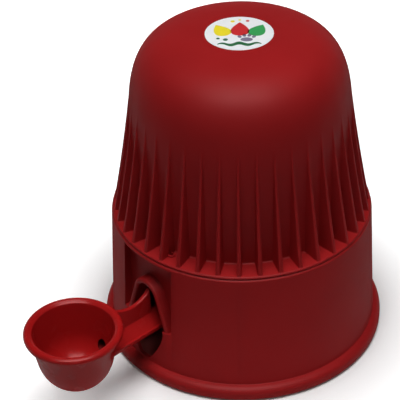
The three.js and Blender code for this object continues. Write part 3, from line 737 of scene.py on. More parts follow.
def skirt_outside():
    level = FOOT_HEIGHT - FOOT_LEDGE
    roll = []
    for k in range(FOOT_ROLL_STEPS + 1):
        out, up = on_circle(FOOT_LEDGE, FOOT_ROLL * k / FOOT_ROLL_STEPS)
        roll.append((skirt_foot_radius + out, level + up))
    return [
        (foot_radius, 0.0, FOOT_EDGE),
        *roll,
        (skirt_foot_radius, FOOT_HEIGHT, 0.8),
        (rim_radius, rim_top, RIM_EDGE),
    ]


def skirt_skin():
    inner_foot = foot_radius - FOOT_LIP_WALL
    inside = [
        (rim_radius - SKIRT_WALL, rim_top, 0.5),
        (skirt_foot_radius - SKIRT_WALL, FOOT_HEIGHT - FOOT_WEB, 1.0),
        (inner_foot, FOOT_HEIGHT - FOOT_WEB, 0.8),
        (inner_foot, 0.0, 0.6),
    ]
    return turned(rounded(skirt_outside() + inside, 5), BODY_STEPS)


def filled_skin():
    outline = rounded([(0.0, 0.0), *skirt_outside(), (0.0, rim_top)], 5)
    return turned(outline, BODY_STEPS)


print("skirt's radius at its foot and rim, in mm:", skirt_foot_radius, rim_radius)

# %% [markdown]
# The window is an arch on leaning legs that closes towards the sill in a soft curve, and a raised bead
# follows its upper part. Bead and window share one outline, moved outwards by the bead's width. The bead's
# front edges are rounded by drawing the outline again and again, each time a little nearer to the middle
# of the bead.

# %% Outlines of the window and its bead
WINDOW_TOP_RADIUS = 10.5
WINDOW_HALF_WIDTH = 21.3
WINDOW_SILL_HALF = 5.5
WINDOW_RISE = 35.5
WINDOW_SHOULDER_DROP = 4.5
WINDOW_TURN_DROP = 14.0
WINDOW_SILL_RISE = 2.0
BEAD = 5.0
BEAD_ROUND = 2.2
BEAD_STEPS = 5
BEAD_FRONT = 9.7
window_top = duct_height + WINDOW_RISE
window_shoulder = duct_height - WINDOW_SHOULDER_DROP
window_turn = window_shoulder - WINDOW_TURN_DROP
window_sill = FOOT_HEIGHT + WINDOW_SILL_RISE
bead_front = panel_distance + BEAD_FRONT


def arch_outline(widen, steps=28):
    centre = window_top - WINDOW_TOP_RADIUS
    drop = window_shoulder - centre
    reach = math.hypot(WINDOW_HALF_WIDTH, drop)
    lean = math.atan2(drop, WINDOW_HALF_WIDTH) + math.acos(WINDOW_TOP_RADIUS / reach)
    foot = (WINDOW_HALF_WIDTH + widen * math.cos(lean), window_shoulder + widen * math.sin(lean))
    radius = WINDOW_TOP_RADIUS + widen
    angles = [lean + (math.pi - 2 * lean) * k / steps for k in range(steps + 1)]
    arch = [(radius * math.cos(a), centre + radius * math.sin(a)) for a in angles]
    return [foot, *arch, (-foot[0], foot[1])]


def window_outline(steps=16):
    right = []
    for k in range(1, steps + 1):
        share = k / steps
        bow = 2 * share * (1 - share)
        x = WINDOW_HALF_WIDTH * ((1 - share) ** 2 + bow) + WINDOW_SILL_HALF * share**2
        right.append((x, window_shoulder * (1 - share) ** 2 + window_turn * bow + window_sill * share**2))
    return arch_outline(0) + [(-x, z) for x, z in right] + right[::-1]


def bead_stages(start):
    stages = [(start, 0.0)]
    for k in range(BEAD_STEPS + 1):
        angle = math.pi / 2 * k / BEAD_STEPS
        out = bead_front - BEAD_ROUND + BEAD_ROUND * math.sin(angle)
        stages.append((out, BEAD_ROUND * (1 - math.cos(angle))))
    return stages


def bead_skin():
    stages = bead_stages(panel_distance - SINK)
    return skinned([[(x, -out, z) for x, z in arch_outline(BEAD - inset)] for out, inset in stages])


def bead_plug():
    rings = []
    for out, flare in [*bead_stages(panel_distance - 2 * SINK), (bead_front + OVERRUN, BEAD_ROUND)]:
        arch = arch_outline(flare)
        low = arch[0][1] - 2 * OVERRUN
        rings.append([(x, -out, z) for x, z in [(arch[0][0], low), *arch, (arch[-1][0], low)]])
    return skinned(rings)


print("window's sill, shoulder and top, in mm:", window_sill, window_shoulder, window_top)

# %% [markdown]
# A flat-backed niche is let into the front. It's built the way the mould makes it: a housing is added to
# the wall, a pocket is taken out of it, and then the arched window is cut through everything. The pocket
# stops below the rim, so a thin band of the rim runs on over the niche, right under the hood's flange. The
# pocket's edges near its mouth are softened a little, since they catch the light.

# %% Build the base's wall, niche and window
NICHE_BELOW_DUCT = 2.5
RIM_BAND = 2.9
MOUTH_EDGE = 0.6
CLOSE_BY = 0.05
niche_floor = duct_height - NICHE_BELOW_DUCT
niche_half = NICHE_WIDTH / 2
outside = foot_radius + OVERRUN

base = solid("base", skirt_skin())
housing = solid("housing", niche_block(0.0, foot_radius, niche_floor - NICHE_WALL, rim_top))
combined("INTERSECT", housing, solid("filled", filled_skin()))
combined("UNION", base, housing)
pocket = block(-niche_half, niche_half, -outside, -panel_distance, niche_floor, rim_top - RIM_BAND)
combined("DIFFERENCE", base, solid("pocket", pocket))


def at_niche_mouth(x, y, z):
    in_front = y < -panel_distance - 1
    upright_edge = abs(abs(x) - niche_half) < CLOSE_BY
    sill_edge = abs(z - niche_floor) < CLOSE_BY and abs(x) < niche_half + 2 * CLOSE_BY
    return z > niche_floor - 2 * CLOSE_BY and in_front and (upright_edge or sill_edge)


softened(base, MOUTH_EDGE, at_niche_mouth)
bead = solid("bead", bead_skin())
combined("DIFFERENCE", bead, solid("plug", bead_plug()))
window = along_arm(window_outline(), panel_distance - NICHE_WALL - OVERRUN, outside)
combined("UNION", base, bead)
combined("DIFFERENCE", base, solid("window", window))

# %% [markdown]
# Four pillars stand inside the wall, each tied to it by a short web. They take the tray's screws from above
# and the rubber feet from below. Each web is a plain plate that is trimmed to the skirt's outside before
# it's joined.

# %% Build the pillars inside the base
PILLAR_CIRCLE = 104.0
PILLAR_RADIUS = 5.0
PILLAR_WEB = 2.4
PILLAR_FOOT = 5.0
PILLAR_GAP = 0.3
PILLAR_ANGLES = [math.radians(angle) for angle in (45, 135, 225, 315)]
SCREW_HOLE = 1.9
PILOT_DEPTH = 15.0
STUD_HOLE = 3.3
STUD_DEPTH = 7.3
DECK_DROP = 11.4
DECK_THICKNESS = 2.6
deck_top = rim_top - DECK_DROP
deck_underside = deck_top - DECK_THICKNESS
pillar_top = deck_underside - PILLAR_GAP
screw_spots = [on_circle(PILLAR_CIRCLE, angle) for angle in PILLAR_ANGLES]


def spoke(angle, near, far, half, foot, top):
    corners = ((near, -half), (far, -half), (far, half), (near, half))
    return upright([swung(out, offset, angle) for out, offset in corners], foot, top)


pillars = []
bores = []
for angle, spot in zip(PILLAR_ANGLES, screw_spots):
    web = spoke(angle, PILLAR_CIRCLE, skirt_foot_radius, PILLAR_WEB / 2, PILLAR_FOOT, pillar_top)
    pillars.append(combined("INTERSECT", solid("web", web), solid("filled", filled_skin())))
    pillars.append(solid("pillar", column(PILLAR_RADIUS, PILLAR_FOOT, pillar_top, spot)))
    pilot = column(SCREW_HOLE, pillar_top - PILOT_DEPTH, pillar_top + OVERRUN, spot, steps=24)
    stud_hole = column(STUD_HOLE, PILLAR_FOOT - OVERRUN, PILLAR_FOOT + STUD_DEPTH, spot, steps=24)
    bores += [solid("pilot", pilot), solid("stud_hole", stud_hole)]
combined("UNION", base, *pillars)
combined("DIFFERENCE", base, *bores)
finished(base, "base", "red_shell", red_plastic, "base_skirt")

# %% [markdown]
# ## The cup and its arm
#
# Cup, arm and spigot are one moulding, so they are one mesh here. The bowl is turned from an outline that
# bulges like a superellipse, with straight sides above and a rolled rim, whose start and span are given in
# half turns. A half ball would be simpler, but the real bowl is fuller low down, and its inside runs
# parallel to its outside.

# %% Cup sizes and outline
RIM_SECTION = 3.6
RIM_INNER_DROP = 2.3
ROLL_START = -0.5
ROLL_SPAN = 1.1
ROLL_STEPS = 16
CUP_WALL = 2.8
CURVE_DEPTH = 38.4
CURVE_POWER = 2.2
CURVE_INSET = 8.3
CURVE_TOP_DROP = 19.8
SIDE_FOOT_DROP = 27.8
SIDE_TOP_INSET = 5.0
curve_radius = cup_radius - CURVE_INSET
curve_top = cup_rim_top - CURVE_TOP_DROP
side_foot = cup_rim_top - SIDE_FOOT_DROP
side_top = cup_rim_top - 2 * RIM_SECTION
side_top_radius = cup_radius - SIDE_TOP_INSET


def bowl_curve(radius, depth, steps=30):
    curve = []
    for i in range(steps + 1):
        angle = math.pi / 2 * i / steps
        out = radius * math.cos(angle) ** (2 / CURVE_POWER) if i < steps else 0.0
        curve.append((out, curve_top - depth * math.sin(angle) ** (2 / CURVE_POWER)))
    return [point for point in curve if point[1] < side_foot]


def bowl_radius(height):
    if height > side_foot:
        foot = bowl_radius(side_foot)
        share = min((height - side_foot) / (side_top - side_foot), 1.0)
        return foot + (side_top_radius - foot) * share
    share = max((curve_top - height) / CURVE_DEPTH, 0.0)
    return curve_radius * max(1 - share**CURVE_POWER, 0.0) ** (1 / CURVE_POWER)


def cup_skin():
    middle = cup_radius - RIM_SECTION
    roll = []
    for k in range(ROLL_STEPS + 1):
        out, up = on_circle(RIM_SECTION, math.pi * (ROLL_START + ROLL_SPAN * k / ROLL_STEPS))
        roll.append((middle + out, cup_rim_top - RIM_SECTION + up))
    corner = [(side_top_radius, side_top, 1.5)]
    step = [(middle - RIM_SECTION, cup_rim_top - RIM_INNER_DROP, 1.6)]
    outside = bowl_curve(curve_radius, CURVE_DEPTH)[::-1] + corner + roll + step
    inside = bowl_curve(curve_radius - CUP_WALL, CURVE_DEPTH - CUP_WALL)
    return turned(rounded(outside + inside), 128, (0, -cup_distance))


print("points round the cup's skin:", len(cup_skin()[0]))

# %% [markdown]
# The arm is a roof over the water's duct with two lips below, and an upright fin along its ridge. Its
# cross-section is one outline, and the fin's top dips in a shallow saddle between the base and the cup. The
# arm's lines run on until they meet the bowl, and spread out just before it, which leaves the soft fillet
# that a mould always has at such a join.

# %% Sections of the arm
ARM_NEAR = 62.3
ARM_HALF = 12.0
ARM_ROOF = 7.8
ARM_EAVE = 4.0
ARM_FLOOR = 5.8
ARM_LIP = 7.1
EAVE_THICKNESS = 0.9
ROOF_START = 1.1
ROOF_INSET = 1.6
LIP_WIDTH = 2.5
LIP_STAND = 0.3
RIDGE_HALF = 0.5
HAIR = 0.02
FIN_INSET = 4.0
FIN_HALF = 2.0
FIN_END = 30.3
FIN_SADDLE = 13.5
FIN_ROUND = 1.5
fin_near = rim_radius - FIN_INSET
fin_far = cup_distance - cup_radius


def fin_top(distance):
    share = min(max((distance - fin_near) / (fin_far - fin_near), 0.0), 1.0)
    bow = 2 * share * (1 - share)
    return duct_height + FIN_END * ((1 - share) ** 2 + share**2) + FIN_SADDLE * bow


def arm_section(half, top):
    lip = duct_height - ARM_LIP
    floor = duct_height - ARM_FLOOR
    eave = duct_height - ARM_EAVE
    slope = (ARM_ROOF + ARM_EAVE) / ARM_HALF
    root = duct_height + ARM_ROOF - half * slope
    right = [
        (ARM_HALF - LIP_WIDTH, floor, 0.7),
        (ARM_HALF - LIP_WIDTH, lip, 0.7),
        (ARM_HALF + LIP_STAND, lip, 0.8),
        (ARM_HALF + LIP_STAND, eave + EAVE_THICKNESS, 0.8),
        (ARM_HALF - ROOF_INSET, eave + ROOF_START, 0.6),
        (half, root, 1.4),
        (half, max(top, root + HAIR), min(FIN_ROUND, 0.8 * half)),
    ]
    left = [(-x, z, radius) for x, z, radius in reversed(right)]
    return rounded(right + left, 5)


def outward(outline):
    normals = []
    for i in range(len(outline)):
        before = outline[i - 1]
        after = outline[(i + 1) % len(outline)]
        along = Vector((after[0] - before[0], after[1] - before[1]))
        normals.append(Vector((along.y, -along.x)).normalized() if along.length > 1e-6 else Vector((0, 0)))
    return normals


print("fin's top at the base and midway, in mm:", fin_top(fin_near), fin_top((fin_near + fin_far) / 2))

# %% [markdown]
# Up to the cup the arm's section is repeated, and only the fin's top changes. On the last stretch each point
# of the section runs on to its own spot on the bowl's wall. As it comes near, it moves outwards along a
# quarter circle, which makes the fillet. A bevel of the joined mesh would be simpler, but it breaks up on
# such a curved join.

# %% Skin of the arm
FILLET = 3.4
SINK_IN_CUP = 0.8
FIN_END_ROWS = 4
PLAIN_ROWS = 16
FLARE_ROWS = 14


def plain_stages():
    stages = [(ARM_NEAR, RIDGE_HALF, 0.0), (fin_near - HAIR, RIDGE_HALF, 0.0)]
    for k in range(FIN_END_ROWS + 1):
        angle = math.pi / 2 * k / FIN_END_ROWS
        inset = FIN_ROUND * (1 - math.sin(angle))
        distance = fin_near + FIN_ROUND * (1 - math.cos(angle))
        stages.append((distance, FIN_HALF - inset, fin_top(fin_near) - inset))
    for k in range(1, PLAIN_ROWS + 1):
        distance = fin_near + FIN_ROUND + (fin_far - fin_near - FIN_ROUND) * k / PLAIN_ROWS
        stages.append((distance, FIN_HALF, fin_top(distance)))
    return stages


def flared_ring(section, normals, share):
    ring = []
    for (x, z), out in zip(section, normals):
        end = cup_distance - math.sqrt(max(bowl_radius(z) ** 2 - x**2, 1.0)) + SINK_IN_CUP
        distance = fin_far + (end - fin_far) * share
        gap = max(end - SINK_IN_CUP - distance, 0.0)
        flare = FILLET - math.sqrt(FILLET**2 - (FILLET - gap) ** 2) if gap < FILLET else 0.0
        ring.append((x + out.x * flare, -distance, z + out.y * flare))
    return ring


def arm_skin():
    rings = [[(x, -distance, z) for x, z in arm_section(half, top)] for distance, half, top in plain_stages()]
    section = arm_section(FIN_HALF, fin_top(fin_far))
    normals = outward(section)
    for k in range(1, FLARE_ROWS + 1):
        rings.append(flared_ring(section, normals, math.sin(math.pi / 2 * k / FLARE_ROWS)))
    return skinned(rings)


print("points of the arm's skin:", len(arm_skin()[0]))

# %% [markdown]
# The spigot is turned with a groove for its seal, and laid down. One bore runs through it and the arm into
# the bowl. Where it enters the bowl a core pin leaves a slightly wider, round-edged mouth, which sits a
# hair lower than the bore.

# %% Build the cup and arm
SPIGOT_RADIUS = 6.6
SPIGOT_TIP = 46.0
DUCT_RADIUS = 4.2
MOUTH_RADIUS = 4.9
MOUTH_DROP = 0.2
MOUTH_REACH = 42.0
GROOVE_DEPTH = 1.2
GROOVE_NEAR = 3.8
GROOVE_FAR = 6.2
groove_floor = SPIGOT_RADIUS - GROOVE_DEPTH
spigot_outline = rounded([
    (0, SPIGOT_TIP),
    (SPIGOT_RADIUS, SPIGOT_TIP, 1.0),
    (SPIGOT_RADIUS, SPIGOT_TIP + GROOVE_NEAR, 0.25),
    (groove_floor, SPIGOT_TIP + GROOVE_NEAR, 0.25),
    (groove_floor, SPIGOT_TIP + GROOVE_FAR, 0.25),
    (SPIGOT_RADIUS, SPIGOT_TIP + GROOVE_FAR, 0.25),
    (SPIGOT_RADIUS, ARM_NEAR + SINK),
    (0, ARM_NEAR + SINK),
], 3)

cup = solid("drinking_cup_and_arm", cup_skin())
combined("UNION", cup, solid("arm", arm_skin()))
combined("UNION", cup, solid("spigot", laid(turned(spigot_outline, 64))))
combined("DIFFERENCE", cup, solid("duct", rod(DUCT_RADIUS, SPIGOT_TIP - OVERRUN, cup_distance, 40)))
points, faces = rod(MOUTH_RADIUS, cup_distance - MOUTH_REACH, cup_distance, 40, 0.8)
mouth = solid("mouth", ([(x, y, z - MOUTH_DROP) for x, y, z in points], faces))
combined("DIFFERENCE", cup, mouth)
finished(cup, "cup", "red_shell", polished_red, "cup_arm")

# %% [markdown]
# The duct is a deep narrow hole, and on the real cup its inside is in shade. In an evenly lit room it would
# shine as bright as the bowl. So every point of this finish that lies within the mouth's radius of the
# duct's own line, on the arm's side of the bowl's middle, takes a darker red: a painted shade, not a colour
# of the plastic.

# %% Painted shade inside the duct
# The colour of the painted shade inside the duct.
DUCT_PAINTED_SHADE = (0.06, 0.003, 0.003)
SHADE_EDGE = 0.3
SHADE_END = 1.0


def painted_duct_shade(finish, radius, colour):
    tree = finish.node_tree
    base_colour = tree.nodes["Principled BSDF"].inputs["Base Color"]
    place = tree.nodes.new("ShaderNodeTexCoord").outputs["Object"]
    from_duct = tree.nodes.new("ShaderNodeMapping")
    from_duct.inputs["Scale"].default_value = (1, 0, 1)
    from_duct.inputs["Location"].default_value = (0, 0, -duct_height * MM)
    tree.links.new(place, from_duct.inputs["Vector"])
    reach = length_of(tree, from_duct.outputs["Vector"])
    beside = spread(tree, reach, radius * MM, (radius + SHADE_EDGE) * MM, 0.0, 1.0)
    spot = tree.nodes.new("ShaderNodeSeparateXYZ")
    tree.links.new(place, spot.inputs["Vector"])
    past = spread(tree, spot.outputs["Y"], -(cup_distance + SHADE_END) * MM, -cup_distance * MM, 1.0, 0.0)
    outside = reckoned(tree, "MAXIMUM", beside, past)
    plain = base_colour.links[0].from_socket
    tree.links.new(blended(tree, outside, colour, plain), base_colour)
    print(finish.name, "is darker within, in mm:", radius)


# Paint shade into the cup's finish inside the duct.
painted_duct_shade(polished_red, MOUTH_RADIUS + 0.1, DUCT_PAINTED_SHADE)

# %% [markdown]
# ## The water tray
#
# The tray hangs inside the base on its deck. Its funnel takes the tank's shoulder, its well holds the
# water that feeds the cup, and a pin on the sump's floor pushes the valve open. Walls are even, since thick
# plastic sinks as it cools, and every inside corner is round so that the tray can be wiped clean.

# %% Sizes and outline of the water tray
TRAY_WALL = 2.6
WELL_FLOOR = 44.0
WELL_RADIUS = 44.0
SUMP_RADIUS = 14.0
PIN_RADIUS = 3.0
PIN_GAP = 0.3
FUNNEL_RADIUS = 86.0
DECK_CLEARANCE = 0.8
NECK_RADIUS = 25.0
SHOULDER_SLOPE = 21.0 / 57.0
shoulder_foot = deck_top - (FUNNEL_RADIUS - NECK_RADIUS) * SHOULDER_SLOPE
pin_top = lowest("valve_stem")[2] - PIN_GAP
deck_radius = rim_radius - SKIRT_WALL - DECK_CLEARANCE


def funnel_height(radius):
    return shoulder_foot + (radius - NECK_RADIUS) * SHOULDER_SLOPE


tray_outline = rounded([
    (0, 0),
    (SUMP_RADIUS + TRAY_WALL, 0, 1.2),
    (SUMP_RADIUS + TRAY_WALL, WELL_FLOOR - TRAY_WALL, 1.0),
    (WELL_RADIUS + TRAY_WALL, WELL_FLOOR - TRAY_WALL, 3.0),
    (WELL_RADIUS + TRAY_WALL, funnel_height(WELL_RADIUS + TRAY_WALL) - TRAY_WALL, 1.0),
    (FUNNEL_RADIUS, deck_underside, 1.0),
    (deck_radius, deck_underside, 0.6),
    (deck_radius, deck_top, 0.8),
    (FUNNEL_RADIUS, deck_top, 1.5),
    (WELL_RADIUS, funnel_height(WELL_RADIUS), 1.5),
    (WELL_RADIUS, WELL_FLOOR, 3.0),
    (SUMP_RADIUS, WELL_FLOOR, 1.5),
    (SUMP_RADIUS, TRAY_WALL, 2.5),
    (PIN_RADIUS, TRAY_WALL, 1.0),
    (PIN_RADIUS, pin_top, 1.0),
    (0, pin_top),
])
print("funnel's height at the well and the deck, in mm:", funnel_height(WELL_RADIUS), deck_top)

# %% [markdown]
# On the front of the well stands a socket, a short tube that the arm's spigot slides into. The deck has a
# notch round the niche, and four holes over the pillars for its screws.

# %% Build the water tray
SOCKET_BORE = 7.8
SOCKET_WALL = 2.6
SOCKET_LENGTH = 18.0


def through_holes(radius, foot, top, spots, steps):
    return [solid("hole", column(radius, foot - OVERRUN, top + OVERRUN, spot, 0, steps)) for spot in spots]


tray = solid("water_tray_surface", turned(tray_outline, 160))
socket_mouth = WELL_RADIUS + SOCKET_LENGTH
socket = solid("socket", rod(SOCKET_BORE + SOCKET_WALL, WELL_RADIUS + SINK, socket_mouth, 64, 0.8))
bore = solid("bore", rod(SOCKET_BORE, WELL_RADIUS - OVERRUN, socket_mouth + OVERRUN, 64, 0.0))
notch = niche_block(DECK_CLEARANCE, deck_radius, deck_underside - OVERRUN, deck_top + OVERRUN)
holes = through_holes(SCREW_HOLE, deck_underside, deck_top, screw_spots, 24)
combined("UNION", tray, socket)
combined("DIFFERENCE", tray, bore, solid("deck_notch", notch), *holes)
finished(tray, "base", "red_tray", tray_plastic, "water_tray")

# %% [markdown]
# ## The tank, its cap and the valve
#
# The tank is one clear bottle, standing on its neck. Outside and inside run parallel, with the thickness
# that a blown bottle has, so light bends through it as through a real wall. A single skin would look like
# a soap bubble instead.

# %% Build the tank
TANK_WALL = 1.8
NECK_WALL = 3.0
NECK_LENGTH = 13.0
SHOULDER_HEIGHT = 21.0
TOP_ROUND = 24.0
tank_radius = highest("tank_shell")[0]
tank_top = highest("tank_shell")[2]
neck_end = lowest("tank_shell")[2]
tank_shoulder_foot = neck_end + NECK_LENGTH
tank_shoulder_top = tank_shoulder_foot + SHOULDER_HEIGHT
inner = tank_radius - TANK_WALL
neck_inner = NECK_RADIUS - NECK_WALL
tank_outline = rounded([
    (neck_inner, neck_end, 0.6),
    (NECK_RADIUS, neck_end, 0.8),
    (NECK_RADIUS, tank_shoulder_foot, 1.6),
    (tank_radius, tank_shoulder_top, 4.0),
    (tank_radius, tank_top, TOP_ROUND),
    (0, tank_top),
    (0, tank_top - TANK_WALL),
    (inner, tank_top - TANK_WALL, TOP_ROUND - TANK_WALL),
    (inner, tank_shoulder_top + TANK_WALL, 4.0),
    (neck_inner, tank_shoulder_foot + TANK_WALL, 2.0),
], 10)
tank = solid("clear_tank_bottle", turned(tank_outline, 160))
finished(tank, "tank", "clear_tank", clear_tank, "tank_shell")

# %% [markdown]
# The cap is turned like the rest, and then cut: six ports let water down round the valve's stem. Fine
# flutes give a grip. They are pressed into the turned skin by drawing in two of every four points of the
# cap's wall, on the rows between its two rounded ends.

# %% Build the cap
CAP_GAP = 0.3
CAP_WALL = 3.0
CAP_DISC = 2.7
CAP_ABOVE_DUCT = 11.5
CAP_LIP_DEPTH = 3.3
PORTS = 6
PORT_RADIUS = 2.8
PORT_CIRCLE = 9.0
HUB_BORE = 2.2
HUB_WALL = 0.9
HUB_LENGTH = 5.0
FLUTES = 48
FLUTE_DEPTH = 0.35
FLUTE_END = 2.0
FLUTE_ROWS = (2.01, 2.5)
cap_inner = highest("cap_gasket")[0] + CAP_GAP
cap_radius = cap_inner + CAP_WALL
cap_lip = duct_height + CAP_ABOVE_DUCT
cap_top = highest("tank_cap")[2]
disc_underside = cap_lip + CAP_LIP_DEPTH
disc_top = disc_underside + CAP_DISC
cap_outline = rounded([
    (HUB_BORE, disc_underside - HUB_LENGTH, 0.2),
    (HUB_BORE + HUB_WALL, disc_underside - HUB_LENGTH, 0.3),
    (HUB_BORE + HUB_WALL, disc_underside, 0.6),
    (cap_inner, disc_underside, 0.8),
    (cap_inner, cap_lip, 0.5),
    (cap_radius, cap_lip, 0.9),
    *[(cap_radius, cap_lip + rise) for rise in FLUTE_ROWS],
    *[(cap_radius, cap_top - drop) for drop in FLUTE_ROWS[::-1]],
    (cap_radius, cap_top, 0.9),
    (cap_inner, cap_top, 0.6),
    (cap_inner, disc_top, 0.8),
    (HUB_BORE, disc_top, 0.3),
])


def cap_skin():
    steps = FLUTES * 4
    points, faces = turned(cap_outline, steps)
    fluted = []
    for i, (x, y, z) in enumerate(points):
        radius = math.hypot(x, y)
        on_wall = cap_lip + FLUTE_END < z < cap_top - FLUTE_END and radius > cap_radius - 0.1
        dip = FLUTE_DEPTH if on_wall and i % steps % 4 in (1, 2) else 0.0
        fluted.append((x * (1 - dip / radius), y * (1 - dip / radius), z))
    return fluted, faces


cap = solid("fluted_screw_cap", cap_skin())
port_spots = [on_circle(PORT_CIRCLE, FULL_TURN * k / PORTS) for k in range(PORTS)]
combined("DIFFERENCE", cap, *through_holes(PORT_RADIUS, disc_underside, disc_top, port_spots, 40))
finished(cap, "tank", "white_plastic", white_plastic, "tank_cap")

# %% [markdown]
# Three flat rings belong to the cap: the gasket on the neck, the valve's soft seal, and the clip that keeps
# the stem from falling out. Each takes its outside and its height from the model, so only the bore and the
# round of its edges are given here.

# %% Build the flat rings


def flat_ring(name, body, slot, finish, node, bore_radius, edge):
    outer = highest(node)[0]
    foot = lowest(node)[2]
    top = highest(node)[2]
    outline = [(bore_radius, foot, edge), (outer, foot, edge), (outer, top, edge), (bore_radius, top, edge)]
    made = solid(name, turned(rounded(outline), 96))
    return finished(made, body, slot, finish, node)


GASKET_WIDTH = 5.5
flat_ring("soft_cap_gasket", "tank", "silicone", silicone, "cap_gasket", NECK_RADIUS - GASKET_WIDTH, 0.7)
flat_ring("soft_valve_seal", "valve", "silicone", silicone, "valve_seal", HUB_BORE, 0.6)
flat_ring("stem_clip_ring", "valve", "white_plastic", white_plastic, "stem_retainer", HUB_BORE, 0.4)

# %% [markdown]
# The valve is a head on a stem, turned in one piece. The tray's pin pushes the stem up and lifts the head
# off the cap's disc, so the head's top edge is well rounded, to let the water round it.

# %% Build the valve's stem and head
STEM_RADIUS = 1.9
HEAD_THICKNESS = 2.5
stem_foot = lowest("valve_stem")[2]
head_top = highest("valve_stem")[2]
head_radius = highest("valve_stem")[0]
stem_outline = rounded([
    (0, stem_foot),
    (STEM_RADIUS, stem_foot, 0.6),
    (STEM_RADIUS, head_top - HEAD_THICKNESS, 0.3),
    (head_radius, head_top - HEAD_THICKNESS, 0.6),
    (head_radius, head_top, 1.2),
    (0, head_top),
])
stem = solid("valve_stem_and_head", turned(stem_outline, 96))
finished(stem, "valve", "white_plastic", white_plastic, "valve_stem")

# %% [markdown]
# The spring is real wire, so it is a round tube along a helix. On the real valve its top stays under the
# cap and its foot stays on the stem's clip ring, so when the valve shuts the coils open out.

# %% Build the spring
WIRE_RADIUS = 0.4
SPRING_TURNS = 4
STEPS_PER_TURN = 28
WIRE_SIDES = 12
spring_foot = lowest("valve_spring")[2]
spring_top = highest("valve_spring")[2]
spring_radius = highest("valve_spring")[0] - WIRE_RADIUS
straight = 2 * WIRE_RADIUS


def spring_skin():
    steps = SPRING_TURNS * STEPS_PER_TURN
    path = [Vector((spring_radius, 0, spring_foot))]
    for i in range(steps + 1):
        angle = FULL_TURN * SPRING_TURNS * i / steps
        height = spring_foot + straight + (spring_top - spring_foot - 2 * straight) * i / steps
        path.append(Vector((spring_radius * math.cos(angle), spring_radius * math.sin(angle), height)))
    path.append(Vector((spring_radius, 0, spring_top)))
    rings = []
    for i, point in enumerate(path):
        ahead = path[min(i + 1, len(path) - 1)] - path[max(i - 1, 0)]
        along = Vector((0, 0, 1)) if i in (0, len(path) - 1) else ahead.normalized()
        out = Vector((point.x, point.y, 0)).normalized()
        side = along.cross(out).normalized()
        level = side.cross(along)
        turns = [FULL_TURN * k / WIRE_SIDES for k in range(WIRE_SIDES)]
        rings.append([tuple(point + WIRE_RADIUS * (math.cos(a) * level + math.sin(a) * side)) for a in turns])
    return skinned(rings)


spring = solid("valve_spring_wire", spring_skin())
spring.data.shade_smooth()
spring.data.materials.append(steel)
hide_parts("valve_spring")
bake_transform(spring)
print("coils:", SPRING_TURNS, "faces:", len(spring.data.polygons))

# %% [markdown]
# ## Screws, feet and the seal
#
# Four pan-head screws hold the tray down. The head is turned with a low dome and its cross is cut in. The
# thread is a stack of turned rings and not a true helix. At this size the two can't be told apart, and the
# rings make a clean closed mesh.

# %% Build the screws
SHANK_RADIUS = 1.6
SHANK_POINT = 0.5
THREAD_START = 1.6
THREAD_END = 2.4
THREAD_PITCH = 1.25
THREAD_DEPTH = 0.28
HEAD_HEIGHT = 1.6
HEAD_SIDE_SHARE = 0.5
HEAD_CROWN_SHARE = 0.55
CROSS_INSET = 1.0
CROSS_HALF = 0.4
CROSS_DEPTH = 0.8
PLAIN_SHANK = 1.2


def half_width(node):
    return (highest(node)[0] - lowest(node)[0]) / 2


def screw_skin(spot, foot, head, top, radius):
    outline = [(0, foot), (SHANK_POINT, foot)]
    height = foot + THREAD_START
    while height < head - THREAD_END:
        outline += [(SHANK_RADIUS - THREAD_DEPTH, height), (SHANK_RADIUS, height + 0.5 * THREAD_PITCH)]
        height += THREAD_PITCH
    outline += [(SHANK_RADIUS, head - PLAIN_SHANK), (SHANK_RADIUS, head)]
    edge = head + HEAD_SIDE_SHARE * (top - head)
    cap = [(radius, head, 0.3), (radius, edge, 0.7), (HEAD_CROWN_SHARE * radius, top, 2.0), (0, top)]
    return turned(rounded(outline + cap, 5), 40, spot)


def cross_slot(spot, reach_x, reach_y, floor, top):
    x, y = spot
    return solid("cross", block(x - reach_x, x + reach_x, y - reach_y, y + reach_y, floor, top + OVERRUN))


for i, spot in enumerate(screw_spots):
    node = f"tray_screw_{i + 1}"
    top = highest(node)[2]
    radius = half_width(node)
    skin = screw_skin(spot, lowest(node)[2], top - HEAD_HEIGHT, top, radius)
    screw = solid(f"pan_head_screw_{i + 1}", skin)
    wide = cross_slot(spot, radius - CROSS_INSET, CROSS_HALF, top - CROSS_DEPTH, top)
    deep = cross_slot(spot, CROSS_HALF, radius - CROSS_INSET, top - CROSS_DEPTH, top)
    combined("DIFFERENCE", screw, wide, deep)
    finished(screw, "base", "steel", steel, node)

# %% [markdown]
# A rubber foot is a pad with a stud that is pressed up into its pillar. Small barbs round the stud grip the
# bore. They are turned with the rest: each is a narrow step in the stud's outline, repeated up its length.

# %% Build the rubber feet
PAD_THICKNESS = 4.7
STUD_RADIUS = 3.0
BARB_START = 1.4
BARB_END = 1.6
BARB_PITCH = 1.8
BARB_SLOPE = 0.3
BARB_LENGTH = 1.4
BARB_DEPTH = 0.25


def stud_skin(spot, radius, pad_top, top):
    outline = [(0, 0), (radius, 0, 1.0), (radius, pad_top, 0.5), (STUD_RADIUS, pad_top, 0.4)]
    root = STUD_RADIUS - BARB_DEPTH
    height = pad_top + BARB_START
    while height < top - BARB_END:
        outline += [(root, height), (STUD_RADIUS, height + BARB_SLOPE), (root, height + BARB_LENGTH)]
        height += BARB_PITCH
    return turned(rounded(outline + [(STUD_RADIUS, top, 0.8), (0, top)], 4), 64, spot)


for i, spot in enumerate(screw_spots):
    node = f"rubber_foot_{i + 1}"
    skin = stud_skin(spot, half_width(node), PAD_THICKNESS, highest(node)[2])
    foot = solid(f"ribbed_rubber_foot_{i + 1}", skin)
    finished(foot, "base", "rubber", black_rubber, node)

# %% [markdown]
# The seal is a rubber ring of round section in the spigot's groove. It's turned about the duct's line and
# laid down with the same helper as the spigot, so the two always meet.

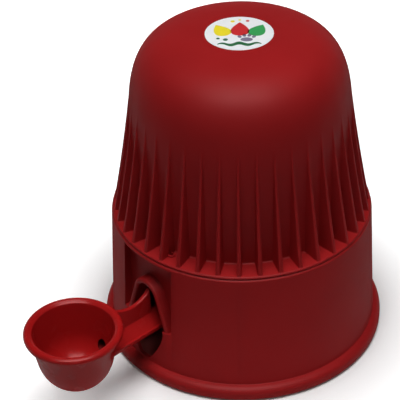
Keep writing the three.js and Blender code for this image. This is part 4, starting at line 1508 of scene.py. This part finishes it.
# %% Build the spigot's seal
SEAL_SIDES = 24
seal_near = -highest("spigot_seal")[1]
seal_far = -lowest("spigot_seal")[1]
seal_section = (seal_far - seal_near) / 2
seal_radius = highest("spigot_seal")[0] - seal_section
seal_outline = []
for k in range(SEAL_SIDES):
    out, along = on_circle(seal_section, FULL_TURN * k / SEAL_SIDES)
    seal_outline.append((seal_radius + out, (seal_near + seal_far) / 2 + along))
seal = solid("spigot_o_ring", laid(turned(seal_outline, 96)))
finished(seal, "cup", "rubber", black_rubber, "spigot_seal")

# %% [markdown]
# ## The label
#
# The label is a white vinyl disc in a shallow seat, so that its edge can't be picked off. It is turned, with
# a soft edge where the vinyl was die-cut.

# %% Build the label's disc
PRINT_THICKNESS = 0.045
PRINT_STAND = 0.004
label_radius = highest("label_disc")[0]
label_foot = lowest("label_disc")[2]
print_top = highest("label_disc")[2] - PRINT_STAND
print_foot = print_top - PRINT_THICKNESS

vinyl = moulded("white_vinyl", (0.87, 0.88, 0.9), 0.015, 0.34, 800.0, 0.004, IOR=1.46)
label_outline = rounded([
    (0, label_foot),
    (label_radius, label_foot, 0.1),
    (label_radius, print_foot, 0.12),
    (0, print_foot),
])
label = solid("round_vinyl_label", turned(label_outline, 128))
finished(label, "hood", "label", vinyl, "label_disc")

# %% [markdown]
# Its print is a plain design of our own: three drops over a wave, with a paw between and a few dots. Each ink
# is a very thin layer with its own outline, as in screen printing, so its edges stay sharp at any distance.
# The design is drawn upright in its own small frame, in millimetres. It is then moved, enlarged to fill the
# label, and swung round so that it reads from where the camera stands.

# %% Outlines of the design
DROP_FULLNESS = 1.3
WAVE_TIP = 0.08
WAVE_SWELL = 0.84


def placed(points, across, up, lean):
    swung_points = [swung(x, y, lean) for x, y in points]
    return [(across + x, up + y) for x, y in swung_points]


def drop(across, up, width, length, lean=0.0, steps=40):
    points = []
    for k in range(steps):
        angle = FULL_TURN * k / steps
        x = 0.5 * width * math.sin(angle) * math.sin(angle / 2) * DROP_FULLNESS
        points.append((x, 0.5 * length * math.cos(angle)))
    return placed(points, across, up, lean)[::-1]


def oval(across, up, width, length, lean=0.0, steps=32):
    angles = [FULL_TURN * k / steps for k in range(steps)]
    points = [(0.5 * width * math.cos(a), 0.5 * length * math.sin(a)) for a in angles]
    return placed(points, across, up, lean)


def wave(west, east, level, swing, thickness, crests, steps=60):
    places = [west + (east - west) * k / steps for k in range(steps + 1)]
    heights = [level + swing * math.sin(FULL_TURN * crests * k / steps) for k in range(steps + 1)]
    thick = [thickness * math.sin(math.pi * (WAVE_TIP + WAVE_SWELL * k / steps)) for k in range(steps + 1)]
    under = [(x, y - t / 2) for x, y, t in zip(places, heights, thick)]
    over = [(x, y + t / 2) for x, y, t in zip(places, heights, thick)]
    return under + over[::-1]


print("points of a drop:", len(drop(0, 0, 10, 14)))

# %% [markdown]
# Each colour is one thin piece on the label, made of one or more outlines. A printed picture would be
# lighter to make, but it needs an image, and its edges go soft in a close view.

# %% Print the design
PRINT_SCALE = 1.17
PRINT_LOWER = 0.5
READ_FROM = math.radians(46.4)


def printed(name, colour, *outlines):
    ink = moulded(name + "_ink", colour, 0.03, 0.4, 900.0, 0.003, IOR=1.48)
    points = []
    faces = []
    for outline in outlines:
        enlarged = [(across * PRINT_SCALE, (up - PRINT_LOWER) * PRINT_SCALE) for across, up in outline]
        turned_round = [swung(across, up, READ_FROM) for across, up in enlarged]
        more, sides = upright(turned_round, print_foot, print_top)
        faces += [tuple(k + len(points) for k in side) for side in sides]
        points += more
    return finished(solid(name, (points, faces)), "hood", "label", ink)


printed(
    "printed_yellow_drop",
    (0.86, 0.72, 0.015),
    drop(-12.5, 5.0, 12, 17, 0.45),
    oval(-4.5, 17.5, 3, 3),
    oval(0.5, 19.5, 2, 2),
)
printed("printed_red_drop", (0.58, 0.012, 0.016), drop(0.5, 6.5, 13, 19), oval(6.0, 18.0, 2.6, 2.6))
printed("printed_green_drop", (0.03, 0.34, 0.085), drop(13.0, 4.5, 12, 17, -0.45))
printed(
    "printed_grey_paw",
    (0.2, 0.17, 0.26),
    oval(5.0, -8.6, 8.4, 5.6),
    oval(0.2, -4.6, 2.7, 3.6, 0.5),
    oval(3.5, -2.9, 2.7, 3.9, 0.15),
    oval(6.9, -2.9, 2.7, 3.9, -0.15),
    oval(10.0, -4.8, 2.7, 3.6, -0.5),
)
printed(
    "printed_dark_green_wave",
    (0.012, 0.13, 0.04),
    wave(-15, 15, -14.8, 1.3, 4.2, 2.5),
    oval(-9.5, -8.5, 3.4, 3.4),
    oval(-14.5, -6.8, 2.4, 2.4),
)

# %% [markdown]
# ## Camera
#
# The camera stands in front and to the right, a metre and a quarter away and looking down at some 35
# degrees, through a long lens, as for a catalogue picture. Its turn is also the way the label reads from.

# %% Camera
CAMERA_AWAY = 1.0057
CAMERA_HEIGHT = 0.8335
CAMERA_AIM = Vector((-0.0249, -0.0261, 0.1222))
CAMERA_ROLL = -0.0337
CAMERA_LENS = 127.14
CAMERA_SENSOR = 36.0
to_camera = Vector((math.sin(READ_FROM), -math.cos(READ_FROM), 0))

camera = bpy.data.objects.new("camera", bpy.data.cameras.new("camera"))
bpy.context.scene.collection.objects.link(camera)
camera.location = to_camera * CAMERA_AWAY + Vector((0, 0, CAMERA_HEIGHT))
camera.rotation_mode = "QUATERNION"
aim = (CAMERA_AIM - camera.location).to_track_quat("-Z", "Y")
camera.rotation_quaternion = aim @ Quaternion((0, 0, 1), CAMERA_ROLL)
camera.data.lens = CAMERA_LENS
camera.data.sensor_width = CAMERA_SENSOR
camera.data.clip_start = 0.05
camera.data.clip_end = 60.0
bpy.context.scene.camera = camera
print("camera at, in metres:", [round(value, 3) for value in camera.location])

# %% [markdown]
# ## Light
#
# A wide soft box hangs almost overhead, a little towards the camera. It brightens what faces up and leaves
# upright walls much darker, with no hard shadow. A lower and wider panel on the same side gives no plain
# light at all: it is only mirrored, and draws the long pale sheen that a product picture has.

# %% Lamps
LAMP_AWAY = 2.8
LAMP_AIM = Vector((0, 0, 0.15))
bpy.context.scene.view_settings.view_transform = "Standard"


def soft_box(name, height_angle, width, height, power):
    angle = math.radians(height_angle)
    lamp = bpy.data.objects.new(name, bpy.data.lights.new(name, "AREA"))
    bpy.context.scene.collection.objects.link(lamp)
    lamp.data.shape = "RECTANGLE"
    lamp.data.size = width
    lamp.data.size_y = height
    lamp.data.energy = power
    towards = to_camera * math.cos(angle) + Vector((0, 0, math.sin(angle)))
    lamp.location = LAMP_AIM + towards * LAMP_AWAY
    lamp.rotation_mode = "QUATERNION"
    lamp.rotation_quaternion = (-towards).to_track_quat("-Z", "Y")
    print(name, "watts:", power)
    return lamp


soft_box("overhead_soft_box", height_angle=81.5, width=1.6, height=1.6, power=73.0)
sheen_panel = soft_box("sheen_panel", height_angle=55.5, width=2.6, height=1.3, power=170.0)
sheen_panel.visible_diffuse = False

# %% [markdown]
# The room itself is dim, so that it doesn't grey the shadows. A view straight at it shows it white. In a
# mirror image or through clear plastic it's white near the floor and dim higher up, so the highlights come
# from the lamps.

# %% The room
ROOM_LIGHT = 0.05
ROOM_FADE = (0.05, 0.25)
ROOM_ABOVE = 0.1


def shown_to_eye(tree, plain, bright):
    mirrored = reckoned(tree, "MAXIMUM", ray_kind(tree, "Is Camera Ray"), ray_kind(tree, "Is Glossy Ray"))
    either = reckoned(tree, "MAXIMUM", mirrored, ray_kind(tree, "Is Transmission Ray"))
    mix = tree.nodes.new("ShaderNodeMixShader")
    tree.links.new(either, mix.inputs["Fac"])
    tree.links.new(plain, mix.inputs[1])
    tree.links.new(bright, mix.inputs[2])
    return mix.outputs["Shader"]


world = bpy.data.worlds.new("white_studio")
bpy.context.scene.world = world
world.use_nodes = True
tree = world.node_tree
dim_room = tree.nodes["Background"]
white_room = tree.nodes.new("ShaderNodeBackground")
for room in (dim_room, white_room):
    room.inputs["Color"].default_value = (1, 1, 1, 1)
dim_room.inputs["Strength"].default_value = ROOM_LIGHT
looking = tree.nodes.new("ShaderNodeSeparateXYZ")
tree.links.new(tree.nodes.new("ShaderNodeTexCoord").outputs["Generated"], looking.inputs["Vector"])
fading = spread(tree, looking.outputs["Z"], *ROOM_FADE, 1.0, ROOM_ABOVE)
strength = reckoned(tree, "MAXIMUM", ray_kind(tree, "Is Camera Ray"), fading)
tree.links.new(strength, white_room.inputs["Strength"])
shown = shown_to_eye(tree, dim_room.outputs["Background"], white_room.outputs["Background"])
tree.links.new(shown, tree.nodes["World Output"].inputs["Surface"])
print("the room's light on the object:", ROOM_LIGHT)

# %% [markdown]
# ## Floor
#
# The floor is white paper. To the object it is a pale sheet out to about a quarter of a metre, which fades
# to nearly black beyond, so that the walls are lit softly from below and the red stays deep. A view at it,
# straight, in a mirror image or through clear plastic, shows white paper with a little light of its own,
# which grows from the foot outwards: the floor is plain white all round, and the shadow at the foot stays.
# Mirror images get little of that added light. Right under the base the paper is painted dark red: a painted
# shade, with the red of light bounced off the plastic.

# %% Floor
FLOOR_REACH = 9.0
FLOOR_DROP = 0.0002
SHEET_EDGE = (0.26, 0.6)
PAINTED_SHADE_REACH = (0.115, 0.123)
NEAR_LIFT = (0.118, 0.2)
FAR_LIFT = (0.3, 1.5)
LIFT = 0.55
LIFT_IN_MIRROR = 0.15
SHEET = (0.66, 0.66, 0.66)
BEYOND_SHEET = (0.08, 0.08, 0.08)
PAPER = (0.88, 0.88, 0.88)
# Painted shade, tinted red like light off the plastic, on the paper right under the base.
PAINTED_SHADE_UNDER_BASE = (0.3, 0.06, 0.055)


def white_paper():
    finish = bpy.data.materials.new("white_paper_floor")
    finish.use_nodes = True
    tree = finish.node_tree
    tree.nodes.remove(tree.nodes["Principled BSDF"])
    away = length_of(tree, tree.nodes.new("ShaderNodeTexCoord").outputs["Object"])
    to_object = tree.nodes.new("ShaderNodeBsdfDiffuse")
    sheet_edge = spread(tree, away, *SHEET_EDGE, 0.0, 1.0)
    tree.links.new(blended(tree, sheet_edge, SHEET, BEYOND_SHEET), to_object.inputs["Color"])
    to_eye = tree.nodes.new("ShaderNodeBsdfDiffuse")
    # Right under the base, the paper seen by the eye takes the painted shade.
    under_base_painted_shade = spread(tree, away, *PAINTED_SHADE_REACH, 0.0, 1.0)
    tree.links.new(blended(tree, under_base_painted_shade, PAINTED_SHADE_UNDER_BASE, PAPER), to_eye.inputs["Color"])
    near_lift = spread(tree, away, *NEAR_LIFT, 0.0, LIFT)
    far_lift = spread(tree, away, *FAR_LIFT, 0.0, 1 - LIFT)
    unmirrored = spread(tree, ray_kind(tree, "Is Glossy Ray"), 0.0, 1.0, 1.0, LIFT_IN_MIRROR)
    lift = tree.nodes.new("ShaderNodeEmission")
    strength = reckoned(tree, "MULTIPLY", reckoned(tree, "ADD", near_lift, far_lift), unmirrored)
    tree.links.new(strength, lift.inputs["Strength"])
    lifted = tree.nodes.new("ShaderNodeAddShader")
    tree.links.new(to_eye.outputs["BSDF"], lifted.inputs[0])
    tree.links.new(lift.outputs["Emission"], lifted.inputs[1])
    shown = shown_to_eye(tree, to_object.outputs["BSDF"], lifted.outputs["Shader"])
    tree.links.new(shown, tree.nodes["Material Output"].inputs["Surface"])
    return finish


corners = [(x * FLOOR_REACH, y * FLOOR_REACH, -FLOOR_DROP) for x, y in ((-1, -1), (1, -1), (1, 1), (-1, 1))]
floor_mesh = bpy.data.meshes.new("studio_floor")
floor_mesh.from_pydata(corners, [], [(0, 1, 2, 3)])
floor = bpy.data.objects.new("studio_floor", floor_mesh)
bpy.context.scene.collection.objects.link(floor)
floor_mesh.materials.append(white_paper())
print("floor reaches out, in metres:", FLOOR_REACH)
